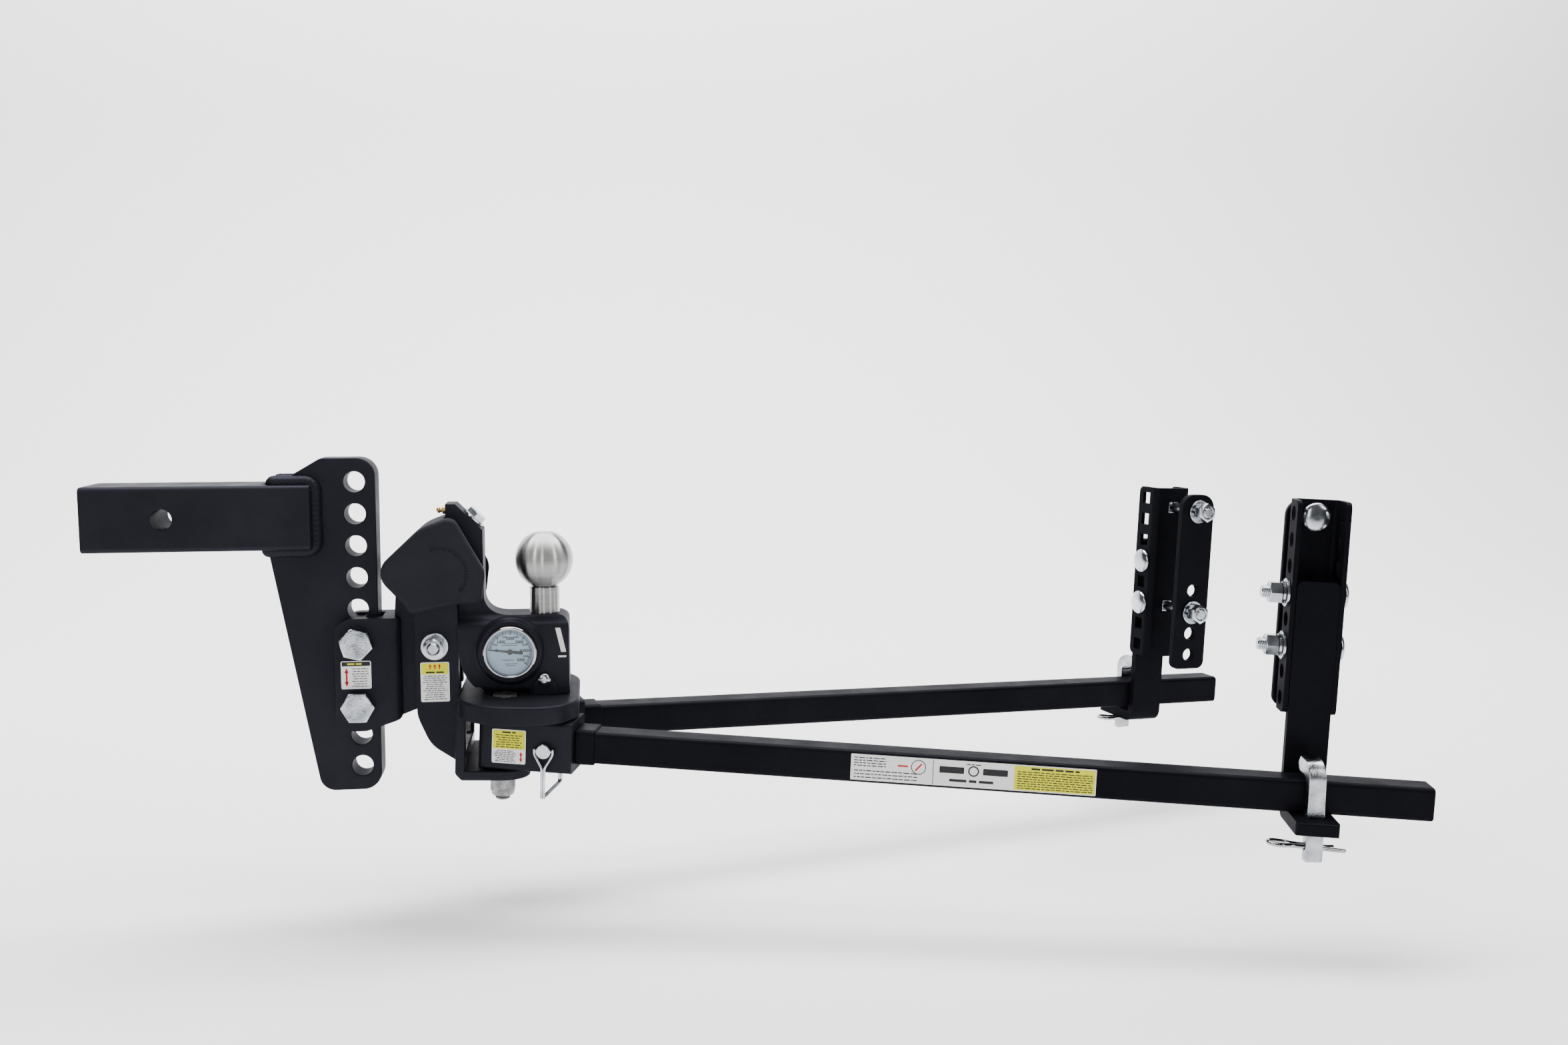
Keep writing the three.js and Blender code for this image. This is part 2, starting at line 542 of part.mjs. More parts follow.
function armSocket(side) {
  const { left, right, half, mouth, depth } = SOCKET;
  const tube = prismX(rect(-half, half, -half, half, 4), left, right, 2);
  const plan = prismZ(rounded([[left, -half, 7], [right, -half], [right, half], [left, half, 7]]),
    -half - 1, half + 1, 2);
  const king = cylinderZ(0, 0, KING.dia / 2 + GAP, -half - 1, half + 1, 14);
  const hole = box(depth, right + 1, -mouth, mouth, -mouth, mouth);
  const pin = cylinderY(PIN.x, PIN.z, PIN.dia / 2 + GAP, -half - 1, half + 1, 16);
  return mesh(`${side}_socket`, cut(tube.intersect(plan), king, hole, pin), COAT);
}

function springArm(side) {
  const half = ARM.side / 2;
  const bar = prismX(rect(-half, half, -half, half, ARM.edge), SOCKET.depth + 1, ARM.end, 2);
  const collarHalf = half + 1.7;
  const ring = rect(-collarHalf, collarHalf, -collarHalf, collarHalf, 5);
  const collar = prismX(ring, SOCKET.right + 0.7, ARM.collar, 2);
  const pin = cylinderY(PIN.x, PIN.z, PIN.dia / 2 + GAP, -half - 1, half + 1, 16);
  return mesh(`${side}_spring_arm`, cut(join(bar, collar), pin), COAT);
}

function armPin(side) {
  const face = -SOCKET.half - GAP;
  const head = cylinderY(PIN.x, PIN.z, PIN.head / 2, face - 5.6, face, 20);
  const shank = cylinderY(PIN.x, PIN.z, PIN.dia / 2, face - 1, PIN.tip, 16);
  return mesh(`${side}_arm_pin`, join(head, shank), ZINC);
}

// Two short legs on the pin's sides run down into one doubled leg that passes back under the socket.
function pinBail(side) {
  const { wire: dia, drop, reach, neck, hingeY: y } = BAIL;
  const pinSide = PIN.head / 2 + GAP;
  const wide = pinSide + dia / 2;
  const trunk = wire([
    [PIN.x, y, neck + 2], [PIN.x, y, neck - 8], [PIN.x, y, drop + 3], [PIN.x + 0.6, y + 3, drop],
    [PIN.x + 1.2, reach - 5, drop], [PIN.x + 1.5, reach, drop + 5], [PIN.x + 1.5, reach, 1],
  ], dia + 0.8, 15, 6);
  const legs = [-1, 1].map((turn) => {
    const leg = wire([
      [PIN.x + turn * wide, y, PIN.z + 2], [PIN.x + turn * wide, y, PIN.z - 4],
      [PIN.x + turn * 2, y, neck], [PIN.x + turn * 0.6, y, neck - 5],
    ], dia, 5, 6);
    const ends = [PIN.x + turn * pinSide, PIN.x + turn * wide];
    return join(leg, cylinderX(y, PIN.z, 1.1, Math.min(...ends), Math.max(...ends), 8));
  });
  return mesh(`${side}_pin_bail`, join(trunk, ...legs), ZINC);
}

// ---------- frame brackets: x along the arm, y away from the arm's outer side, z up ----------
const rowHeight = (setting, row) => setting.channelTop - CHANNEL.topRow - BRACKET.pitch * row;

function bracketChannel(side, setting) {
  const { half, wall, front, back, height } = CHANNEL;
  const top = setting.channelTop;
  const outer = rounded([[-half, front], [half, front], [half, back, 9], [-half, back, 9]]);
  const inner = rounded([[-half + wall, front - 1], [half - wall, front - 1],
    [half - wall, back - wall, 3], [-half + wall, back - wall, 3]]);
  const channel = cut(prismZ(outer, top - height, top, 2), prismZ(inner, top - height - 1, top + 1, 1));
  const low = top - height;
  const flange = rounded([[front, low, 7], [back + 1, low], [back + 1, top], [front, top, 7]]);
  let body = channel.intersect(prismX(flange, -half - 1, half + 1, 2));
  const y = SIDE_BOLT.depth;
  const square = CARRIAGE.squareHole / 2;
  for (let row = 0; row < BRACKET.rows; row++) {
    const z = rowHeight(setting, row);
    const round = cylinderX(y, z, CARRIAGE.roundHole / 2, -half - 1, -half + wall + 1, 8);
    const slot = box(half - wall - 1, half + 1, y - square, y + square, z - square, z + square);
    body = cut(body, round, slot);
  }
  for (const z of frameBoltHeights(setting)) {
    body = cut(body, box(-square, square, back - wall - 1, back + 1, z - square, z + square));
  }
  return mesh(`${side}_channel`, body, COAT);
}

const frameBoltHeights = (setting) => {
  const upper = setting.channelTop - setting.frameBolt;
  return [upper, upper - STRAP.spacing];
};

// An upright bar with two cheeks at its back and a foot that passes under the arm.
function bracketHanger(side, setting) {
  const { half, front, thick, cheek, cheekBack, foot, reach, bend } = HANGER;
  const under = -ARM.side / 2 - GAP - setting.hangerDrop;
  const top = 198.5 - setting.hangerDrop;
  const back = front + thick;
  const [upper, lower] = BRACKET.boltRows.map((row) => rowHeight(setting, row));
  const angle = rounded([
    [reach, under - foot, 2],
    [back, under - foot, bend],
    [back, top],
    [front, top],
    [front, under, 3],
    [reach, under, 2],
  ]);
  const low = under - foot - 1;
  const face = rounded([[-half, low], [half, low], [half, top, 6], [-half, top, 6]]);
  const bar = prismX(angle, -half, half, 3).intersect(prismY(face, reach - 1, back + 1, 2));
  const lug = box(-half, half, back - 1, cheekBack, lower - 22, upper + 12);
  const room = box(-half + cheek, half - cheek, back, cheekBack + 1, lower - 30, upper + 30);
  const slotBox = new THREE.BoxGeometry(KEEPER.wide + 1.6, KEEPER.thick + 1.6, 80);
  const slot = solid(slotBox.applyMatrix4(keeperPlace(setting.side)));
  const slotOnly = slot.intersect(box(-40, 40, -60, 0, low, under + 1));
  const bores = [upper, lower].map((z) =>
    cylinderX(SIDE_BOLT.depth, z, SIDE_BOLT.dia / 2 + GAP, -half - 1, half + 1, 12));
  return mesh(`${side}_hanger`, cut(join(bar, cut(lug, room)), slotOnly, ...bores), COAT);
}

// The keeper stands in the hanger's foot, turned a little about its upright leg and hanging plumb.
function keeperPlace(side) {
  const turned = new THREE.Matrix4().makeRotationZ(THREE.MathUtils.degToRad(KEEPER.yaw));
  const leaned = new THREE.Matrix4().makeRotationY(THREE.MathUtils.degToRad(side * KEEPER.lean));
  return new THREE.Matrix4().makeTranslation(KEEPER.centre, KEEPER.leg, 0).multiply(turned).multiply(leaned);
}

function keeper(name, { side, keeperLift }) {
  const { wide, thick, foot, top, turn } = KEEPER;
  const half = thick / 2;
  const hook = rounded([
    [-half, foot, 2],
    [half, foot, 2],
    [half, 20.3, 5],
    [21.5, 22.8, 4],
    [24.3, 30, 4],
    [20.3, top, 1],
    [-half, top - 1.8, turn],
  ]);
  const body = extrude(hook, -wide / 2, wide / 2, 4).applyMatrix4(ALONG_X).translate(0, 0, keeperLift);
  const hole = new THREE.CylinderGeometry(2.6, 2.6, 40, 10).rotateZ(Math.PI / 2);
  hole.translate(0, 0, CLIP.z + keeperLift);
  const placed = [body, hole].map((geometry) => solid(geometry.applyMatrix4(keeperPlace(side))));
  return mesh(`${name}_keeper`, cut(...placed), ZINC);
}

// Spring clip: a straight leg through the keeper, a round loop and a waved leg that grips it from outside.
function clip(side, setting) {
  const route = [
    [30, 0], [0, 0], [-20, 0], [-30, -2.5], [-38, -1], [-41, 4.5], [-36, 10.5], [-26, 11], [-16, 7.6],
    [-8, 7], [0, 7.4], [8, 7], [16, 7.8], [23, 10.5],
  ];
  const z = CLIP.z + setting.keeperLift;
  const points = route.map(([x, y]) => new THREE.Vector3(-setting.side * x, y, z - CLIP.fall * x));
  const placed = points.map((point) => point.applyMatrix4(keeperPlace(setting.side)).toArray());
  return mesh(`${side}_clip`, wire(placed, CLIP.wire, 28, 6), ZINC);
}

function backingStrap(side, setting) {
  const { half, thick, height, spacing } = STRAP;
  const front = setting.strapFront;
  const [upper] = frameBoltHeights(setting);
  const top = upper + setting.strapAbove;
  const low = top - height;
  const face = rounded([[-half, low, 9], [half, low, 9], [half, top, 16], [-half, top, 16]]);
  const plate = prismY(face, front, front + thick, 3);
  const rows = [0, spacing - BRACKET.pitch, spacing, spacing + BRACKET.pitch, spacing + 2 * BRACKET.pitch];
  const holes = rows.map((down) =>
    cylinderY(0, upper - down, CARRIAGE.roundHole / 2, front - 1, front + thick + 1, 12));
  return mesh(`${side}_backing_strap`, cut(plate, ...holes), COAT);
}

// Flat washer, spring washer and hexagon nut standing on z = from, in that order.
function nutStack(from) {
  const springFrom = from + NUT.washerThick;
  const nutFrom = springFrom + NUT.springThick;
  const washer = cylinderZ(0, 0, NUT.washer / 2, from, springFrom, 12);
  const spring = cylinderZ(0, 0, NUT.spring / 2, springFrom - 0.1, nutFrom + 0.1, 10);
  return join(washer, spring, cylinderZ(0, 0, hexRadius(NUT.flats), nutFrom, nutFrom + NUT.thick, 6));
}

// A carriage bolt standing along +Z with the underside of its dome at the origin, dome down.
function carriageBolt(length) {
  const { dome, domeHeight, dia } = SIDE_BOLT;
  const steps = 2;
  const profile = [];
  for (let i = 0; i <= steps; i++) {
    const angle = (Math.PI / 2) * (i / steps);
    profile.push([dome * Math.sin(angle), -domeHeight * Math.cos(angle)]);
  }
  profile.push([0, 0]);
  const square = CARRIAGE.square / 2;
  const neck = box(-square, square, -square, square, -1, CHANNEL.wall - 0.6);
  return join(solid(turned(profile, 12)), neck, cylinderZ(0, 0, dia / 2, -1, length, 10));
}

function sideBolt(side, label, z) {
  const length = CHANNEL.half + GAP + SIDE_BOLT.end;
  const bolt = mesh(`${side}_side_bolt_${label}`, carriageBolt(length), ZINC);
  bolt.rotation.y = -Math.PI / 2;
  bolt.position.set(CHANNEL.half + GAP, SIDE_BOLT.depth, z);
  return bolt;
}

function sideNut(side, label, z) {
  const bore = cylinderZ(0, 0, SIDE_BOLT.dia / 2 + GAP, -1, 30, 10);
  const nut = mesh(`${side}_side_nut_${label}`, cut(nutStack(0), bore), ZINC);
  nut.rotation.y = -Math.PI / 2;
  nut.position.set(-CHANNEL.half - GAP, SIDE_BOLT.depth, z);
  return nut;
}

function frameBolt(side, label, z, strapFront) {
  const seat = CHANNEL.back - CHANNEL.wall - GAP;
  const stack = nutStack(strapFront + STRAP.thick + GAP - seat);
  const bolt = mesh(`${side}_frame_bolt_${label}`, join(carriageBolt(STRAP.boltEnd - seat), stack), ZINC);
  bolt.rotation.x = -Math.PI / 2;
  bolt.position.set(0, seat, z);
  return bolt;
}

// ---------- assembly ----------
function fixedPart() {
  const group = new THREE.Group();
  group.add(shankBar(), dropPlate(), clevisBracket(), pivotBushing(), trunnionNut());
  const labels = ["upper", "lower"];
  HEIGHT_BOLT.holes.forEach((hole, i) => {
    group.add(heightBolt(`height_bolt_${labels[i]}`, hole), heightNut(`height_nut_${labels[i]}`, hole));
  });
  return group;
}

function headPart() {
  const group = new THREE.Group();
  group.add(headFrame(), clampBolt(), clampNut(), thrustBlock(), leadScrew(), greaseFitting());
  group.add(rubberCover(), ballHousing(), towBall(), loadPiston(), cylinderCap(), lockScrew());
  gauge(group);
  return group;
}

function bracketPart(side, setting) {
  const group = new THREE.Group();
  group.add(bracketChannel(side, setting), bracketHanger(side, setting), backingStrap(side, setting));
  group.add(keeper(side, setting), clip(side, setting));
  const labels = ["upper", "lower"];
  BRACKET.boltRows.forEach((row, i) => {
    const z = rowHeight(setting, row);
    group.add(sideBolt(side, labels[i], z), sideNut(side, labels[i], z));
  });
  frameBoltHeights(setting).forEach((z, i) =>
    group.add(frameBolt(side, labels[i], z, setting.strapFront)));
  group.position.x = BRACKET.along;
  group.rotation.z = setting.side > 0 ? Math.PI : 0;
  return group;
}

function armPart(side, setting) {
  const group = new THREE.Group();
  const swung = new THREE.Group();
  swung.add(armSocket(side), springArm(side), bracketPart(side, setting));
  const pinned = new THREE.Group();
  pinned.add(armPin(side), pinBail(side));
  pinned.scale.y = -setting.side;
  swung.add(pinned);
  swung.rotation.z = setting.side * SPLAY;
  group.add(kingBolt(side, 0), kingNut(side, 0), swung);
  group.position.y = setting.side * KING.y;
  return group;
}

const drooping = new THREE.Group();
drooping.position.set(KING.x, 0, KING.z);
drooping.rotation.y = DROOP;
drooping.add(socketYoke(), armPart("near", NEAR), armPart("far", FAR));

const hitch = new THREE.Group();
hitch.add(fixedPart(), headPart(), drooping);
export default hitch;
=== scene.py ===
"""Looks of a weight distribution hitch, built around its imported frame.

Shapes are drawn in millimetres in the frame's own axes and scaled to metres when a piece is placed.
+X runs towards the trailer, +Y to the far side, +Z up, and the origin is the shank's receiver end.
"""
import json
import math
import random

import bmesh
import bpy
from mathutils import Matrix, Vector


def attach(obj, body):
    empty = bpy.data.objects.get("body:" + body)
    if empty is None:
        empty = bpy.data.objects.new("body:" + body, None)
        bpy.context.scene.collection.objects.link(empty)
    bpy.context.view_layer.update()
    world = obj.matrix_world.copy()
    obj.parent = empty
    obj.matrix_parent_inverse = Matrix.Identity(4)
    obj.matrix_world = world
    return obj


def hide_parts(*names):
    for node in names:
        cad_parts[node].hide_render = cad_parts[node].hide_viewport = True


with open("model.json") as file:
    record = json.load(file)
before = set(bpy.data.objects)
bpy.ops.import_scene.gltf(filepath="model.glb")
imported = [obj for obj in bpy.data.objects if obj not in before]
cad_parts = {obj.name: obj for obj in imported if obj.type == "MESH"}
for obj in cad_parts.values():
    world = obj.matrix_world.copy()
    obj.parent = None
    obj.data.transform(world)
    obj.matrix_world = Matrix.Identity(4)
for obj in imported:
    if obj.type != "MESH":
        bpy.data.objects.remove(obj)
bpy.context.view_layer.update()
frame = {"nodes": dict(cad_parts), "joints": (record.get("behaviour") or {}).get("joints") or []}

MM = 0.001
INCH = 25.4
GAP = 0.35
JOINTS = {joint["name"]: joint for joint in frame["joints"]}

# ---------- sizes shared with the frame, millimetres ----------
SHANK_HALF, SHANK_LENGTH, SHANK_PIN_X = 31.75, 213, 74.6
PLATE_HALF = 14
HOLE_X, HOLE_Z, HOLE_PITCH, HOLES = 252.8, 33.5, 1.25 * INCH, 10
CLEVIS_OUTER = 27
PIVOT = (328, -130)
SIDE_INNER, SIDE_OUTER = 15, 28
TRUNNION = (304, -67)
THRUST = (355.5, -15.5)
SEAT = 14.2
BALL_X, BALL_Z, BALL_R = 435.6, -48.1, 29.37
GAUGE_X, GAUGE_Z, BEZEL, BOSS_FACE = 402, -135.6, 26.3, -39.5
GAUGE_START, GAUGE_SWEEP = 173.5, 212
KING_FLATS, KING_DIA = 0.9375 * INCH, 0.625 * INCH
SOCKET_HALF = 25.4
ARM_HALF = 0.625 * INCH
ARM_PIN = (48.5, -2.5)
FILL_SCREW = (435, -165)
BRACKET_ALONG = 781
CHANNEL_HALF, CHANNEL_WALL, CHANNEL_BACK = 24.8, 4.5, 52
SIDE_BOLT_DEPTH = 32.2
FRAME_BOLT_PITCH, FRAME_BOLT_END = 119, 119
NUT_FLATS = 19.05
STEP_FLATS = 1.125 * INCH
DOME_RADIUS, DOME_HEIGHT = 14, 5.2
THREAD_PITCH, KING_PITCH = 1.95, 2.3
ON_PAPER, ON_FIELD, PRINT = 0.16, 0.21, 0.05
PAPER_RADIUS = 1.6
ARM_LABEL = (348.8, 582.1, 427.9, 505.0)
NEAR = {"top": 275.2, "drop": 0, "frame_bolt": 17.2, "lift": 0, "strap": 72, "above": 15}
FAR = {"top": 257.5, "drop": 5, "frame_bolt": 23, "lift": 7, "strap": 92, "above": 19.5}


def arm_frame(side):
    """Millimetre frame of a spring arm: x along the arm, z up the king bolt, from the recorded joints."""
    along = Vector(JOINTS[side + "_bail_swing"]["axis"]).normalized()
    up = Vector(JOINTS[side + "_arm_swing"]["axis"]).normalized()
    across = up.cross(along)
    origin = Vector(JOINTS[side + "_arm_swing"]["pos_m"]) / MM
    matrix = Matrix((along, across, up)).transposed().to_4x4()
    matrix.translation = origin
    return matrix


def yoke_frame():
    """Millimetre frame of the socket yoke: between the king bolts, tilted like the arms."""
    matrix = arm_frame("near")
    up = matrix.col[2].xyz
    across = Vector((0, 1, 0))
    along = across.cross(up)
    yoke = Matrix((along, across, up)).transposed().to_4x4()
    yoke.translation = Vector((matrix.translation.x, 0, matrix.translation.z))
    return yoke


def bracket_frame(side):
    """Millimetre frame of a bracket: y runs towards the trailer frame, x along the arm or against it."""
    turn = Matrix.Rotation(math.pi if side == "far" else 0, 4, "Z")
    return arm_frame(side) @ Matrix.Translation((BRACKET_ALONG, 0, 0)) @ turn


AXES = {
    "X": Matrix(((0, 0, 1, 0), (1, 0, 0, 0), (0, 1, 0, 0), (0, 0, 0, 1))),
    "Y": Matrix(((1, 0, 0, 0), (0, 0, 1, 0), (0, 1, 0, 0), (0, 0, 0, 1))),
    "Z": Matrix.Identity(4),
}


# ---------- outlines ----------
def rounded(corners, least=0.0):
    """Closed outline with rounded corners as (point, outward normal) pairs; a corner is (x, y, radius)."""
    points = [Vector(c[:2]) for c in corners]
    radii = [c[2] if len(c) > 2 else 0 for c in corners]
    count = len(points)
    area = sum(points[i - 1].x * points[i].y - points[i].x * points[i - 1].y for i in range(count))
    if area < 0:
        points.reverse()
        radii.reverse()
    result = []
    for i, corner in enumerate(points):
        to_before = points[i - 1] - corner
        to_after = points[(i + 1) % count] - corner
        room = 0.49 * min(to_before.length, to_after.length)
        to_before.normalize()
        to_after.normalize()
        half = math.acos(max(-1, min(1, to_before.dot(to_after)))) / 2
        wanted = max(radii[i], least)
        radius = min(wanted, max(radii[i] * 0.999, room * math.tan(half)))
        convex = to_before.cross(to_after) < 0
        if radius < 1e-6:
            normal = -(to_before + to_after).normalized() * (1 if convex else -1)
            result.append((corner, normal))
            continue
        centre = corner + (to_before + to_after).normalized() * (radius / math.sin(half))
        start = corner + to_before * (radius / math.tan(half)) - centre
        end = corner + to_after * (radius / math.tan(half)) - centre
        first = math.atan2(start.y, start.x)
        sweep = (math.atan2(end.y, end.x) - first + math.pi) % (2 * math.pi) - math.pi
        steps = max(2, min(28, round(abs(sweep) * (2 + 1.1 * math.sqrt(radius)))))
        for k in range(steps + 1):
            angle = first + sweep * k / steps
            ray = Vector((math.cos(angle), math.sin(angle)))
            result.append((centre + ray * radius, ray if convex else -ray))
    return result


def rect(x0, x1, y0, y1, radius=0.0):
    return [(x0, y0, radius), (x1, y0, radius), (x1, y1, radius), (x0, y1, radius)]


def strip(start, end, half):
    """A straight bar's outline between two points."""
    side = (end - start).normalized().orthogonal() * half
    return [tuple(start - side), tuple(end - side), tuple(end + side), tuple(start + side)]


def circle(x, y, radius, count=48):
    angles = [2 * math.pi * i / count for i in range(count)]
    rays = [Vector((math.cos(a), math.sin(a))) for a in angles]
    return [(Vector((x, y)) + ray * radius, ray) for ray in rays]


def through(points):
    """Closed outline through given points, with normals from the neighbours."""
    points = [Vector(p) for p in points]
    count = len(points)
    area = sum(points[i - 1].x * points[i].y - points[i].x * points[i - 1].y for i in range(count))
    if area < 0:
        points.reverse()
    result = []
    for i, point in enumerate(points):
        tangent = (points[(i + 1) % count] - points[i - 1]).normalized()
        result.append((point, Vector((tangent.y, -tangent.x))))
    return result


def arc(x, y, radius, first, last, steps=12):
    """Points on an arc, angles in degrees."""
    angles = [math.radians(first + (last - first) * k / steps) for k in range(steps + 1)]
    return [(x + radius * math.cos(a), y + radius * math.sin(a)) for a in angles]


def bend(start, control, end, steps=10):
    """Points on a quadratic curve, without its first point."""
    a, b, c = Vector(start), Vector(control), Vector(end)
    shares = [k / steps for k in range(1, steps + 1)]
    return [tuple(a * (1 - t) ** 2 + b * 2 * t * (1 - t) + c * t * t) for t in shares]


# ---------- solids ----------
def to_object(bm, name="solid"):
    bmesh.ops.recalc_face_normals(bm, faces=bm.faces)
    mesh = bpy.data.meshes.new(name)
    bm.to_mesh(mesh)
    bm.free()
    obj = bpy.data.objects.new(name, mesh)
    bpy.context.scene.collection.objects.link(obj)
    return obj


def bridge(bm, lower, upper):
    count = len(lower)
    for i in range(count):
        j = (i + 1) % count
        bm.faces.new((lower[i], lower[j], upper[j], upper[i]))


def skinned(rings, closed=False):
    """A solid whose skin runs through rings of points: capped at both ends, or closed into a loop."""
    bm = bmesh.new()
    loops = [[bm.verts.new(point) for point in ring] for ring in rings]
    for lower, upper in zip(loops, loops[1:] + (loops[:1] if closed else [])):
        bridge(bm, lower, upper)
    if not closed:
        bm.faces.new(loops[0])
        bm.faces.new(loops[-1])
    return to_object(bm)


def around(radius, height, count):
    """Points round the Z axis."""
    angles = [2 * math.pi * i / count for i in range(count)]
    return [(radius * math.cos(a), radius * math.sin(a), height) for a in angles]


def moved(obj, x, y, z):
    obj.data.transform(Matrix.Translation((x, y, z)))
    return obj


def prism(outline, lo, hi, axis="Z", holes=(), edge=0.0, steps=3):
    """An outline swept along an axis, with rounded rims where edge is set.

    Holes are circles (x, y, radius).
    """
    if not isinstance(outline[0][0], Vector):
        outline = rounded(outline, edge * 1.02)
    angles = [math.pi / 2 * k / steps for k in range(steps + 1)] if edge else [math.pi / 2]
    rim = [(edge * (1 - math.sin(a)), edge * (1 - math.cos(a))) for a in angles]
    if not edge:
        rim = [(0, 0)]
    levels = [(inset, lo + rise) for inset, rise in rim]
    levels += [(inset, hi - rise) for inset, rise in reversed(rim)]
    bm = bmesh.new()
    first, last = [], []
    for loop, sign in [(outline, -1)] + [(circle(*hole), 1) for hole in holes]:
        rings = []
        for inset, height in levels:
            ring = [p + n * (sign * inset) for p, n in loop]
            rings.append([bm.verts.new((p.x, p.y, height)) for p in ring])
        for lower, upper in zip(rings, rings[1:]):
            bridge(bm, lower, upper)
        first.append(rings[0])
        last.append(rings[-1])
    for loops in (first, last):
        edges = [bm.edges.get((loop[i - 1], loop[i])) for loop in loops for i in range(len(loop))]
        bmesh.ops.triangle_fill(bm, use_beauty=True, edges=edges)
    bmesh.ops.transform(bm, matrix=AXES[axis], verts=bm.verts)
    return to_object(bm)


def box(x0, x1, y0, y1, z0, z1):
    return prism(rect(x0, x1, y0, y1), z0, z1)


def cylinder(axis, x, y, radius, lo, hi, edge=0.0, count=48):
    return prism(circle(x, y, radius, count), lo, hi, axis, edge=edge)


def lathe(profile, count=64):
    """A turned solid standing along Z; the profile runs (radius, height) from axis to axis."""
    bm = bmesh.new()
    rings = []
    for radius, height in profile:
        points = [(0, 0, height)] if radius < 1e-6 else around(radius, height, count)
        rings.append([bm.verts.new(point) for point in points])
    for lower, upper in zip(rings, rings[1:]):
        if len(lower) > 1 and len(upper) > 1:
            bridge(bm, lower, upper)
        elif len(lower) > 1 or len(upper) > 1:
            tip, ring = (lower[0], upper) if len(lower) == 1 else (upper[0], lower)
            for i in range(count):
                bm.faces.new((tip, ring[i], ring[(i + 1) % count]))
    return to_object(bm)


def ring_lathe(profile, count=64):
    """A turned ring: the closed profile doesn't touch the axis."""
    return skinned([around(radius, height, count) for radius, height in profile], closed=True)


def hexagon(flats, lo, hi, bore=0.0, chamfer_lo=False, chamfer_hi=False, turn=0.0):
    """A hexagon head or nut standing along Z; a chamfer is a cone that turns its corners down."""
    count, face_share, cone, bore_chamfer = 96, 0.95, 28, 0.8
    angles = [2 * math.pi * i / count for i in range(count)]
    corners = [flats / 2 / math.cos(math.radians((math.degrees(a) + 30) % 60 - 30)) for a in angles]
    face = flats / 2 * face_share
    drops = [(r - face) * math.tan(math.radians(cone)) for r in corners]

    def level(radii, heights):
        rows = zip(angles, radii, heights)
        return [(r * math.cos(a + turn), r * math.sin(a + turn), h) for a, r, h in rows]

    def flat(radius, height):
        return level([radius] * count, [height] * count)

    rings = [level(corners, [lo] * count)]
    if chamfer_lo:
        rings = [flat(face, lo), level(corners, [lo + d for d in drops])]
    if chamfer_hi:
        rings += [level(corners, [hi - d for d in drops]), flat(face, hi)]
    else:
        rings.append(level(corners, [hi] * count))
    if bore:
        rings += [flat(bore + bore_chamfer, hi), flat(bore, hi - bore_chamfer), flat(bore, lo)]
    return skinned(rings, closed=bool(bore))


def threaded(radius, lo, hi, pitch=THREAD_PITCH, down=False):
    """A rod along Z whose skin is a screw thread; its turned tip is at hi, or at lo where down is set."""
    count, rows_per_pitch, tip_height, tip_slope = 32, 6, 1.6, 0.9
    rows = max(8, round((hi - lo) / pitch * rows_per_pitch))
    depth = pitch * 0.5
    rings = []
    for row in range(rows + 1):
        height = lo + (hi - lo) * row / rows
        tip = max(0.0, (height - (hi - tip_height)) * tip_slope)
        ring = []
        for i in range(count):
            phase = (height / pitch - i / count) % 1
            groove = depth * (1 - abs(2 * phase - 1))
            r = min(radius - groove, radius - tip)
            angle = 2 * math.pi * i / count
            ring.append((r * math.cos(angle), r * math.sin(angle), height))
        rings.append(ring)
    rod = skinned(rings)
    if down:
        rod.data.transform(Matrix.Translation((0, 0, lo + hi)) @ Matrix.Scale(-1, 4, (0, 0, 1)))
    return rod


def tube(points, radius, sides=16, ripple=None):
    """A round wire or bead along points, with domed ends; ripple(i) scales the radius at a point."""
    points = [Vector(p) for p in points]
    last = len(points) - 1
    dome = (0, math.pi / 6, math.pi / 3, math.pi * 0.45)
    angles = [2 * math.pi * k / sides for k in range(sides)]
    rings = []
    tangent = (points[1] - points[0]).normalized()
    helper = Vector((0, 0, 1)) if abs(tangent.z) < 0.9 else Vector((1, 0, 0))
    normal = tangent.cross(helper).normalized()
    for i, point in enumerate(points):
        ahead = points[min(i + 1, last)] - points[max(i - 1, 0)]
        ahead.normalize()
        normal = (normal - ahead * normal.dot(ahead)).normalized()
        side = ahead.cross(normal)
        r = radius * (ripple(i) if ripple else 1)
        places = [(0, r)]
        if i == 0:
            places = [(-r * math.sin(a), r * math.cos(a)) for a in reversed(dome)]
        elif i == last:
            places = [(r * math.sin(a), r * math.cos(a)) for a in dome]
        for out, q in places:
            centre = point + ahead * out
            rings.append([centre + (normal * math.cos(a) + side * math.sin(a)) * q for a in angles])
    return skinned(rings)


def catmull(points, per_span=8):
    """Smooth points through given ones (centripetal Catmull-Rom)."""
    points = [Vector(p) for p in points]
    padded = [points[0] * 2 - points[1]] + points + [points[-1] * 2 - points[-2]]

    def mix(p, q, start, end, t):
        return p * ((end - t) / (end - start)) + q * ((t - start) / (end - start))

    result = []
    for p0, p1, p2, p3 in zip(padded, padded[1:], padded[2:], padded[3:]):
        t0 = 0.0
        t1 = t0 + math.sqrt((p1 - p0).length)
        t2 = t1 + math.sqrt((p2 - p1).length)
        t3 = t2 + math.sqrt((p3 - p2).length)
        for k in range(per_span):
            t = t1 + (t2 - t1) * k / per_span
            first, second, third = mix(p0, p1, t0, t1, t), mix(p1, p2, t1, t2, t), mix(p2, p3, t2, t3, t)
            result.append(mix(mix(first, second, t0, t2, t), mix(second, third, t1, t3, t), t1, t2, t))
    return result + [points[-1]]


